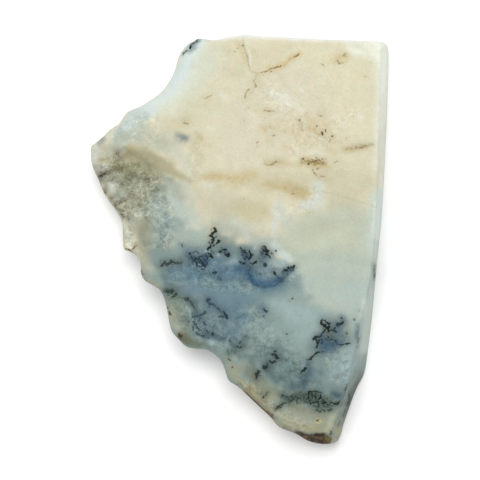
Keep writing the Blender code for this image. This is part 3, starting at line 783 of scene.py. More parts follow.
        (310, 348, 5), (320, 360, 5), (322, 372, 5), (318, 386, 4),
    ]),
    ("right_haze", (145, 165, 167), 0.9, 2.0, 0.8, 2.5, [
        (332, 372, 5), (340, 362, 8), (350, 366, 7), (344, 378, 6),
    ]),
    ("right_haze_pale", (164, 183, 184), 0.8, 1.4, 0.7, 2.0, [(350, 352, 4), (352, 362, 4), (344, 367, 3)]),
    ("right_haze_low", (122, 140, 139), 0.85, 1.6, 0.7, 2.0, [(322, 386, 3), (334, 386, 4), (344, 390, 5)]),
    ("teal_fill", (108, 130, 131), 0.75, 1.4, 0.6, 2.0, [(289, 364, 3.4), (285, 370, 3)]),
    ("low_cream", (134, 142, 121), 0.8, 1.3, 0.6, 2.0, [(272, 388, 3), (277, 394, 3), (266, 383, 2.6)]),
    ("low_cream_high", (150, 152, 128), 0.7, 1.1, 0.5, 1.8, [
        (250, 374, 2.6), (257, 380, 2.6), (262, 388, 2.4),
    ]),
    ("haze_light", (162, 179, 177), 0.85, 1.3, 0.6, 2.0, [(345, 374, 3.4), (349, 368, 3)]),
    ("moss_ground", (112, 128, 123), 0.7, 1.4, 0.7, 1.8, [(200, 331, 3), (208, 334, 3.4), (214, 326, 3)]),
    ("moss_ground_left", (150, 158, 142), 0.75, 1.2, 0.6, 1.8, [(184, 324, 3), (181, 314, 2.6)]),
    ("saw_dark", (108, 130, 134), 0.7, 1.6, 0.6, 2.0, [(192, 284, 3), (204, 276, 3), (214, 268, 3)]),
    ("saw_light", (112, 140, 148), 0.7, 1.4, 0.6, 2.0, [(229, 269, 3), (236, 317, 3), (254, 300, 3)]),
    ("chain_lift", (96, 116, 114), 0.7, 1.0, 0.5, 1.6, [(268, 368, 2.6)]),
    # The bluish zone, with light ground between its dendrites.
    ("blue_veil", (136, 154, 150), 1.0, 2.0, 0.8, 1.6, [
        (156, 256, 5), (168, 258, 7), (196, 256, 8), (224, 248, 6), (258, 258, 10), (276, 272, 10),
        (290, 280, 8),
    ]),
    ("blue_body", (104, 131, 143), 1.0, 2.2, 1.0, 2.0, [
        (172, 272, 8), (190, 270, 11), (206, 270, 11), (224, 272, 13), (240, 274, 11),
    ]),
    ("blue_body_low", (116, 141, 150), 1.0, 2.6, 1.2, 2.5, [
        (180, 288, 9), (206, 292, 12), (232, 294, 12), (252, 298, 9),
    ]),
    ("blue_body_foot", (106, 132, 143), 0.95, 2.6, 1.2, 2.2, [
        (216, 306, 7), (234, 310, 10), (228, 322, 10), (244, 320, 9), (232, 332, 8),
    ]),
    ("blue_left_rim", (111, 129, 130), 0.9, 1.2, 0.5, 1.6, [(163, 276, 3), (169, 284, 4), (180, 288, 4)]),
    ("blue_bright", (87, 117, 134), 0.85, 1.2, 0.5, 1.6, [(208, 263, 3), (216, 262, 4), (222, 268, 3)]),
    ("blue_deep", (66, 100, 124), 0.9, 1.3, 0.7, 1.3, [(236, 268, 3), (242, 270, 5), (247, 275, 3.6)]),
    ("blue_right_low", (121, 146, 152), 0.95, 1.6, 0.6, 2.0, [(256, 293, 7), (268, 291, 7), (282, 287, 6)]),
    ("tree_olive", (147, 158, 148), 0.95, 1.0, 0.4, 1.5, [(212, 236, 4), (221, 240, 6), (232, 243, 5)]),
    ("tree_olive_low", (136, 153, 150), 0.9, 0.9, 0.4, 1.5, [(220, 246, 3.5), (232, 247, 4), (238, 253, 3)]),
    ("haze_left", (146, 164, 160), 0.9, 1.2, 0.5, 1.6, [
        (160, 262, 4), (172, 256, 4), (182, 250, 3.5), (190, 246, 3),
    ]),
    ("cup_inner", (116, 140, 149), 0.95, 0.8, 0.3, 1.4, [(254, 272, 3), (264, 270, 5), (272, 268, 4)]),
    ("cup_pale", (138, 157, 161), 0.8, 0.8, 0.3, 1.4, [(261, 271, 2.4), (268, 271, 2.4)]),
    ("cup_blue", (78, 112, 136), 0.95, 1.2, 0.5, 1.2, [
        (250, 277, 3), (255, 281.5, 4.4), (264, 283, 5), (273, 281.5, 4.6), (280, 279, 2.8),
    ]),
    ("right_ground", (150, 168, 166), 0.9, 2.4, 0.9, 1.8, [(291, 274, 4), (296, 283, 5), (300, 290, 4)]),
    ("right_ground_pale", (200, 213, 198), 0.9, 1.0, 0.5, 1.6, [(290, 262, 3), (298, 270, 3)]),
    ("right_flare", (208, 218, 212), 0.95, 1.0, 0.5, 1.4, [
        (271, 245, 3), (277, 250, 4), (283, 254, 4.4), (287, 259, 3.4),
    ]),
    ("cup_light", (166, 182, 180), 0.9, 1.0, 0.5, 1.4, [(268, 264, 2.4), (274, 263, 3.4), (279, 265, 3.4)]),
    ("right_flare_low", (166, 182, 180), 0.9, 0.9, 0.4, 1.4, [(273, 260, 3), (280, 266, 3.6), (284, 263, 3)]),
    ("ink_shade_left", (78, 99, 110), 0.7, 1.0, 0.5, 1.4, [(189, 254, 2.5), (196, 259, 4), (204, 258, 4.5)]),
    ("ink_shade_moss", (98, 115, 115), 0.75, 1.0, 0.5, 1.4, [(164, 263, 2.6), (173, 262, 3), (180, 262, 2)]),
    ("ink_shade_arc", (110, 130, 134), 0.7, 0.9, 0.4, 1.4, [(221, 251, 2.2), (227, 253, 2.8)]),
    ("ink_shade_centre", (78, 100, 112), 0.72, 1.0, 0.5, 1.4, [
        (242, 252, 3.2), (247, 256, 4), (244, 262, 3), (239, 262, 2),
    ]),
    ("ink_shade_right", (84, 106, 115), 0.62, 1.0, 0.5, 1.4, [(263, 250, 3.2), (263, 257, 3), (267, 252, 2)]),
    ("ink_shade_far", (94, 116, 126), 0.8, 0.9, 0.4, 1.4, [(283, 272, 2.6), (290, 269, 3.4)]),
    ("plume", (96, 116, 118), 0.9, 0.9, 0.4, 1.2, [(182, 243, 1.5), (183, 248, 2), (187, 252, 2.4)]),
    ("moss_zone", (93, 114, 119), 0.95, 2.2, 1.0, 1.8, [
        (196, 303, 5), (202, 316, 8), (208, 327, 8), (220, 334, 6),
    ]),
    ("moss_zone_dark", (78, 98, 105), 0.85, 1.2, 0.6, 1.5, [(212, 335, 3), (219, 337, 4)]),
    ("moss_olive", (134, 145, 130), 0.9, 2.0, 0.9, 2.2, [(172, 302, 5), (180, 314, 7), (186, 328, 7)]),
    ("edge_pale_olive", (177, 179, 163), 0.85, 1.4, 0.6, 2.0, [(170, 312, 3), (176, 326, 4)]),
    ("edge_left_low", (182, 180, 160), 0.9, 1.2, 0.4, 2.0, [(150, 281, 3), (157, 287, 3), (163, 297, 2)]),
    # The scalloped lower edge and the olive foot.
    # Painted shade: the olive edge, rounded away from the lamp, is painted darker.
    ("edge_olive_shade", (120, 130, 114), 0.95, 1.0, 0.5, 2.0, [
        (181, 335, 2.5), (190, 340, 4), (200, 343, 3),
    ]),
    ("edge_brown", (120, 118, 92), 0.5, 0.8, 0.4, 1.4, [(180, 336, 1.6), (184, 340, 1.6)]),
    ("scallop_pale", (154, 174, 176), 0.9, 0.8, 0.4, 1.4, [(210, 340, 2), (213, 343, 2.4)]),
    ("scallop_grey", (141, 159, 154), 0.9, 1.2, 0.5, 2.0, [(216, 350, 3), (224, 352, 4), (238, 360, 4)]),
    ("scallop_dark", (106, 122, 116), 0.9, 1.0, 0.5, 1.5, [(229, 352, 2.6), (234, 347, 3), (243, 344, 3.5)]),
    ("scallop_olive", (154, 159, 143), 0.9, 1.0, 0.5, 1.5, [(228, 365, 3), (236, 368, 4), (243, 366, 3)]),
    ("foot_shade", (116, 124, 110), 0.75, 2.0, 0.9, 1.8, [(249, 368, 4), (254, 377, 3.4), (262, 381, 3.4)]),
    ("foot_olive", (161, 161, 137), 0.95, 1.6, 0.7, 2.2, [
        (234, 374, 4), (243, 382, 5), (252, 390, 6), (262, 400, 6),
    ]),
    ("foot_olive_green", (148, 153, 129), 0.85, 1.4, 0.7, 2.0, [(262, 388, 4), (270, 396, 4)]),
    ("foot_cream", (172, 174, 153), 1.0, 1.6, 0.7, 2.2, [
        (268, 408, 5), (282, 415, 6), (300, 422, 7), (324, 426, 7),
    ]),
    ("foot_olive_mid", (138, 140, 117), 0.9, 1.6, 0.8, 2.0, [(292, 407, 4), (310, 411, 5), (326, 413, 4)]),
    ("foot_cream_mid", (158, 163, 145), 0.8, 1.2, 0.6, 1.6, [(283, 409, 3), (334, 414, 3)]),
    ("foot_cream_top", (164, 168, 152), 0.8, 1.4, 0.6, 1.6, [(294, 413, 3), (304, 415, 3)]),
    ("foot_low", (152, 153, 128), 0.8, 1.4, 0.5, 1.6, [(304, 427, 3), (318, 427, 4), (330, 426, 3)]),
    ("foot_rim", (170, 167, 138), 0.95, 0.9, 0.4, 1.4, [
        (274, 420, 2), (279, 424, 2.6), (286, 427.4, 2.6), (293, 430, 2),
    ]),
    ("foot_corner", (168, 170, 144), 0.95, 1.1, 0.4, 1.4, [
        (341, 421, 3), (338, 432, 4.6), (335, 441, 4.6), (331, 436, 3),
    ]),
    ("foot_right", (182, 186, 160), 0.95, 1.1, 0.4, 1.4, [(330, 423, 4), (326, 428, 2.6), (333, 416, 2.6)]),
    ("foot_left_olive", (112, 119, 100), 0.8, 0.9, 0.5, 1.4, [(277, 406, 2.4), (281, 402.6, 2)]),
    ("lower_ochre", (161, 160, 135), 0.85, 1.3, 0.6, 2.0, [
        (252, 386, 3), (256, 393, 3.4), (262, 399, 4), (268, 405, 4),
    ]),
    ("lower_ochre_in", (140, 147, 126), 0.8, 1.4, 0.6, 2.0, [
        (258, 383, 3), (264, 389, 3.4), (270, 393, 3.4), (276, 394, 3),
    ]),
    ("lower_ochre_light", (164, 168, 147), 0.8, 1.2, 0.5, 1.6, [(266, 404, 2.4), (270, 401, 2.4)]),
    ("lower_ochre_top", (160, 166, 149), 0.8, 1.2, 0.5, 1.6, [(227, 366, 2.6), (232, 373, 2.4)]),
    ("lower_teal", (106, 120, 111), 0.75, 1.2, 0.5, 1.6, [(284, 390, 2.6), (286, 384, 2)]),
    ("lower_dark", (98, 110, 103), 0.7, 1.2, 0.5, 1.6, [(240, 356, 2.4), (238, 350, 2.4)]),
    ("foot_pale_low", (182, 182, 158), 0.8, 0.8, 0.4, 1.4, [
        (297, 427, 2.2), (302, 428.4, 2), (308, 430, 1.4),
    ]),
    ("foot_right_in", (146, 154, 139), 0.8, 1.1, 0.5, 1.6, [(337, 409, 2.6)]),
    ("scallop_shade", (112, 124, 117), 0.75, 1.2, 0.5, 1.6, [(208, 346, 2.2), (203, 343, 1.6)]),
    ("gap_grey", (160, 171, 156), 0.8, 1.2, 0.6, 1.8, [(236, 237, 3), (228, 240, 2)]),
    ("ridge_blue", (196, 204, 194), 0.7, 1.4, 0.6, 2.0, [(284, 226, 3.4), (292, 218, 3)]),
    ("right_warm", (205, 209, 188), 0.6, 2.4, 0.8, 2.0, [(322, 238, 6), (344, 234, 7)]),
    ("middle_blue", (106, 128, 134), 0.7, 1.6, 0.6, 2.0, [(232, 328, 3), (240, 334, 3.4), (220, 322, 2.6)]),
    ("arms_light", (114, 136, 144), 0.6, 1.2, 0.6, 1.6, [(214, 254, 2.4), (217, 260, 2.4)]),
    ("cup_inside", (120, 140, 142), 0.6, 1.0, 0.5, 1.4, [(256, 258, 2), (258, 268, 2.4)]),
    ("foot_yellow", (169, 168, 134), 0.6, 1.4, 0.6, 2.0, [(276, 420, 3), (316, 430, 3)]),
    ("pit_ring", (194, 186, 146), 0.7, 0.6, 0.2, 1.0, [(317, 419, 2.4), (321.5, 418.4, 2)]),
    ("tree_shade", (88, 116, 132), 0.85, 1.8, 0.7, 1.4, [(321, 342, 3.5), (327, 345, 4.5), (335, 342, 4)]),
    ("tree_shade_top", (134, 152, 150), 0.8, 1.2, 0.5, 1.6, [(324, 326, 3.5), (337, 326, 4)]),
    ("tree_khaki", (162, 170, 157), 0.8, 1.2, 0.5, 1.8, [(347, 322, 3), (349, 330, 3)]),
    ("tree_shade_right", (106, 132, 140), 0.9, 1.0, 0.5, 1.6, [(355, 325, 2.5), (356, 338, 2.5)]),
    ("moss_band_shade", (84, 97, 88), 0.9, 1.2, 0.6, 1.6, [
        (284, 396, 3.5), (298, 397, 4.5), (314, 398, 6.5), (328, 401, 4.5),
    ]),
    ("moss_band_blue", (70, 90, 98), 0.85, 1.2, 0.5, 1.6, [(330, 393, 2.6), (338, 394, 3.2)]),
    ("moss_band_end", (140, 150, 132), 0.8, 1.0, 0.5, 1.5, [(342, 402, 3), (343, 408, 3)]),
    # The sawn strip down the right, painted lighter at its top and darker at its foot for the light and shade
    # on its steep slope, and the rind.
    ("side_strip", (197, 212, 203), 0.95, 1.0, 0.4, 3.0, [(372, 292, 4), (368, 325, 5), (363, 348, 5)]),
    # Painted shade: the foot of the sawn strip, which faces away from the lamp, is painted dark grey in the
    # next two rows.
    ("side_foot_shade", (118, 132, 124), 1.0, 1.6, 0.4, 2.5, [
        (360, 376, 4), (357, 382, 6), (352, 398, 6), (343, 420, 6),
    ]),
    ("side_dark_shade", (92, 104, 97), 0.9, 1.2, 0.4, 2.0, [(359, 384, 2), (353, 392, 3), (347, 403, 3)]),
    ("side_spot", (118, 136, 132), 0.9, 0.8, 0.4, 1.6, [(375, 266, 1.6), (375, 278, 2)]),
    # Painted light: the steep top of the sawn strip, painted lighter than its stone, some channels past white.
    ("side_top_lit", (259, 263, 250), 0.95, 1.0, 0.3, 2.0, [
        (384, 47, 5), (383.6, 62, 4.6), (383, 80, 4.6), (383, 96, 4),
    ]),
    ("side_top_mid_lit", (249, 252, 236), 0.9, 1.0, 0.3, 2.0, [
        (382.6, 96, 4.6), (382, 112, 4.6), (381.6, 126, 4),
    ]),
    ("side_top_low_lit", (246, 247, 230), 0.8, 1.0, 0.3, 2.0, [(381.6, 176, 3.6), (381.4, 186, 3.6)]),
    ("side_mid_lit", (230, 241, 232), 0.9, 1.0, 0.3, 2.0, [
        (381, 190, 4), (379.6, 205, 5), (378.4, 220, 5), (377.6, 236, 4.6),
    ]),
    # More painted shade at the foot of the sawn strip.
    ("side_foot_dark_shade", (92, 103, 95), 0.9, 1.0, 0.4, 2.0, [
        (358, 386, 2.6), (352.5, 398, 3), (347.5, 411, 2.6),
    ]),
    ("side_foot_inner_shade", (146, 158, 149), 0.75, 1.0, 0.4, 1.8, [(358, 372, 2.6), (351, 384, 2)]),
    ("side_strip_inner", (206, 221, 212), 0.8, 1.0, 0.3, 1.8, [(364, 300, 3.4), (362.6, 314, 3.4)]),
    ("foot_side", (170, 170, 136), 0.9, 1.0, 0.4, 2.0, [(340, 422, 3), (336, 433, 4)]),
    ("blue_spot", (136, 148, 144), 0.9, 1.5, 0.3, 1.4, [(178, 137, 2.4), (183, 138.4, 3), (187.5, 139, 2.4)]),
    ("blue_spot_heart", (112, 126, 128), 0.8, 0.9, 0.2, 1.2, [(182.5, 138.6, 1.4), (185.5, 139.2, 1.6)]),
    ("nub_blue", (126, 146, 154), 0.95, 0.7, 0.2, 1.4, [(191, 48, 1.8), (196, 45, 2.4), (200, 43, 1.4)]),
    ("rind_brown", (46, 36, 8), 1.0, 0.28, 0.2, 1.2, [
        (295.4, 431, 1.4), (300, 433, 2.6), (305, 435.4, 3.6), (310, 438, 6), (316, 438, 6.9),
        (321, 438.4, 6.8), (326.4, 439.6, 5.2),
    ]),
    ("rind_amber", (112, 98, 46), 0.9, 0.4, 0.3, 0.8, [(303.6, 436, 0.9), (308, 438.4, 1)]),
    ("rind_amber_mid", (118, 106, 50), 0.85, 0.3, 0.3, 0.8, [
        (306, 434.4, 0.8), (311, 435.4, 0.9), (316, 436.4, 1.3), (321, 437.4, 1.1),
    ]),
    ("rind_amber_right", (124, 108, 44), 0.95, 0.5, 0.3, 1.2, [
        (325, 435.6, 1.8), (328, 438.5, 2.6), (328.5, 442, 1.8),
    ]),
    ("rind_grey", (132, 128, 106), 0.85, 0.5, 0.2, 1.2, [(284, 427.5, 1.2), (292, 431.5, 1.3)]),
    ("rind_left", (104, 92, 62), 0.95, 0.4, 0.2, 1.2, [
        (246, 392, 0.8), (254, 400, 1.3), (262, 407.5, 1.6), (268, 412, 1.8), (272, 416, 1.3),
    ]),
    ("rind_glow", (168, 163, 127), 0.8, 0.6, 0.3, 1.4, [
        (245, 390, 2), (250, 389, 1.6), (262, 404, 1.6), (267, 408, 1.4),
    ]),
    # Last, small lighter and darker patches all over the face.
    ("blue_gap", (160, 184, 190), 0.9, 1.2, 0.5, 1.6, [(236, 260, 3.4), (231, 262, 2.2)]),
    ("tree_ground", (170, 182, 176), 0.8, 1.0, 0.5, 1.6, [(271, 252, 2.4), (270.6, 247, 1.6)]),
    ("tree_between", (156, 172, 170), 0.8, 1.0, 0.5, 1.4, [
        (256.6, 251.6, 2.2), (255, 247.4, 2.2), (259.4, 242.6, 2),
    ]),
    ("arm_ground", (150, 167, 168), 0.8, 1.1, 0.5, 1.6, [
        (203, 250.6, 2.4), (187, 250.6, 2.8), (180, 246, 2.2),
    ]),
    ("arm_under", (110, 134, 145), 0.7, 1.2, 0.5, 1.6, [(203, 270, 2.6), (209, 267, 2)]),
    ("tall_ground", (140, 152, 146), 0.7, 1.0, 0.5, 1.6, [(218, 245, 2.4), (212, 246, 1.6)]),
    ("nub_shade", (160, 176, 173), 0.9, 0.8, 0.3, 1.4, [(189, 52, 2.6), (195, 49.6, 2)]),
    ("rim_left_light", (206, 208, 192), 0.85, 1.0, 0.6, 1.4, [(99.6, 171, 3), (103, 168.6, 2.4)]),
    ("rim_low_light", (200, 200, 178), 0.75, 1.0, 0.7, 1.4, [
        (132, 212, 2.8), (117, 203, 2.6), (124, 213, 1.8),
    ]),
    ("rim_pale", (210, 210, 184), 0.8, 0.9, 0.6, 1.4, [(108, 155.4, 2.8), (114, 156, 2)]),
    ("lip_shade", (170, 168, 138), 0.7, 1.2, 0.5, 1.6, [
        (146, 148.6, 2.4), (155, 155, 2.4), (164, 160, 2.2), (172, 165, 1.8),
    ]),
    ("hollow_green", (142, 154, 140), 0.85, 1.3, 0.7, 1.6, [(148, 212, 3)]),
    ("wall_olive", (136, 144, 127), 0.8, 1.3, 0.6, 1.6, [(148, 243, 3)]),
    ("band_teal", (134, 155, 152), 0.8, 1.3, 0.6, 1.6, [(172, 228, 3)]),
    ("band_pale", (188, 200, 190), 0.75, 1.2, 0.6, 1.6, [(164, 204, 2.8)]),
    ("moss_under", (98, 112, 101), 0.75, 1.2, 0.6, 1.6, [(188, 316, 2.8)]),
    ("moss_under_low", (78, 96, 98), 0.75, 1.1, 0.6, 1.6, [(196, 332, 2.4)]),
    ("middle_dark", (82, 104, 111), 0.75, 1.3, 0.6, 1.6, [(236, 340, 2.8), (220, 332, 2.8)]),
    ("bay_light", (200, 210, 196), 0.8, 1.3, 0.6, 1.8, [(301, 268, 3)]),
    ("moss_right_light", (130, 141, 131), 0.7, 1.0, 0.5, 1.4, [(335, 405.4, 2.2), (341, 404, 2.2)]),
    ("ochre_light", (164, 166, 144), 0.75, 1.1, 0.6, 1.6, [(268, 397, 2.2), (260, 396, 2)]),
    ("teal_dark", (96, 118, 124), 0.7, 1.4, 0.6, 1.8, [(316, 380, 2.8)]),
    ("low_grey", (98, 115, 110), 0.7, 1.2, 0.6, 1.6, [(252, 363, 2.4)]),
    ("corner_pale", (246, 253, 238), 0.8, 1.8, 0.4, 3.0, [
        (376, 49, 5), (364, 47, 4), (379, 58, 3), (350, 50, 4),
    ]),
    ("crack_top_pale", (238, 237, 216), 0.7, 1.0, 0.4, 2.0, [(245, 43.6, 2.6)]),
    ("moss_right_lift", (142, 152, 141), 0.8, 1.0, 0.5, 1.4, [(334, 409, 2.4), (344, 408, 2)]),
    ("rim_shade", (134, 136, 114), 0.75, 1.0, 0.7, 1.4, [(116, 179, 2.8)]),
    ("rim_pale_low", (190, 189, 170), 0.8, 1.0, 0.7, 1.4, [(116, 203, 3)]),
    ("tan_lift", (232, 222, 192), 0.7, 1.6, 0.6, 2.4, [(316, 123, 4), (326, 130, 3)]),
    ("bay_shade", (112, 136, 142), 0.75, 1.2, 0.6, 1.8, [(292, 284, 3)]),
    ("ochre_lift", (170, 172, 150), 0.7, 1.2, 0.6, 1.8, [(268, 398, 2.6), (276, 400, 2)]),
    ("bevel_shade", (66, 74, 62), 0.85, 0.9, 0.2, 2.0, [(350.4, 401, 2.4), (349.6, 407, 2.2)]),
    ("tree_top_light", (188, 200, 187), 0.8, 1.0, 0.5, 1.6, [(269, 242.6, 2.6), (260, 241.6, 2.4)]),
    ("centre_gap", (150, 168, 168), 0.8, 1.0, 0.5, 1.4, [(251.6, 250.6, 2.4), (252, 255, 1.8)]),
    ("under_arms", (126, 150, 160), 0.8, 1.1, 0.5, 1.6, [(204, 269.6, 3), (211, 266, 1.8)]),
    ("tall_foot_light", (150, 162, 155), 0.7, 1.0, 0.5, 1.6, [(221, 244, 2.6), (212.4, 243.6, 2.4)]),
    ("moss_foot_light", (160, 168, 154), 0.75, 0.9, 0.5, 1.4, [(333, 410, 2.4), (342, 408.6, 2.2)]),
    ("arm_navy", (72, 98, 126), 0.8, 0.9, 0.5, 1.4, [
        (206, 254.6, 1.8), (206, 259, 2.2), (205.6, 263.4, 1.4),
    ]),
    ("arm_navy_left", (80, 106, 128), 0.75, 0.9, 0.5, 1.4, [(190.8, 254.6, 1.6), (191.4, 258.4, 1.8)]),
    ("centre_navy", (66, 92, 112), 0.75, 1.1, 0.5, 1.6, [(247, 264, 2.4), (251.6, 269.6, 2.8)]),
    ("blue_under", (94, 118, 124), 0.75, 1.3, 0.6, 1.8, [(212, 316, 3)]),
    ("teal_under", (94, 118, 124), 0.75, 1.3, 0.6, 1.8, [(316, 371.6, 3)]),
    ("low_under", (110, 124, 116), 0.7, 1.1, 0.6, 1.8, [(212.6, 347.4, 2.4)]),
    ("lip_under", (162, 166, 146), 0.75, 1.1, 0.6, 1.6, [(172, 180, 2.8)]),
    ("crack_under", (208, 196, 158), 0.7, 1.1, 0.5, 1.8, [(252, 52, 2.8)]),
    ("rim_under", (144, 146, 134), 0.75, 1.0, 0.5, 1.4, [(100.6, 180, 2.4)]),
    ("rim_over", (176, 180, 166), 0.7, 1.0, 0.5, 1.4, [(101, 172, 2)]),
    ("tan_over", (226, 212, 176), 0.6, 1.2, 0.6, 1.8, [(324.6, 132, 2.8)]),
    ("tree_foot_light", (136, 152, 148), 0.7, 1.0, 0.5, 1.4, [(212, 243.6, 2), (270.6, 253.6, 1.8)]),
)

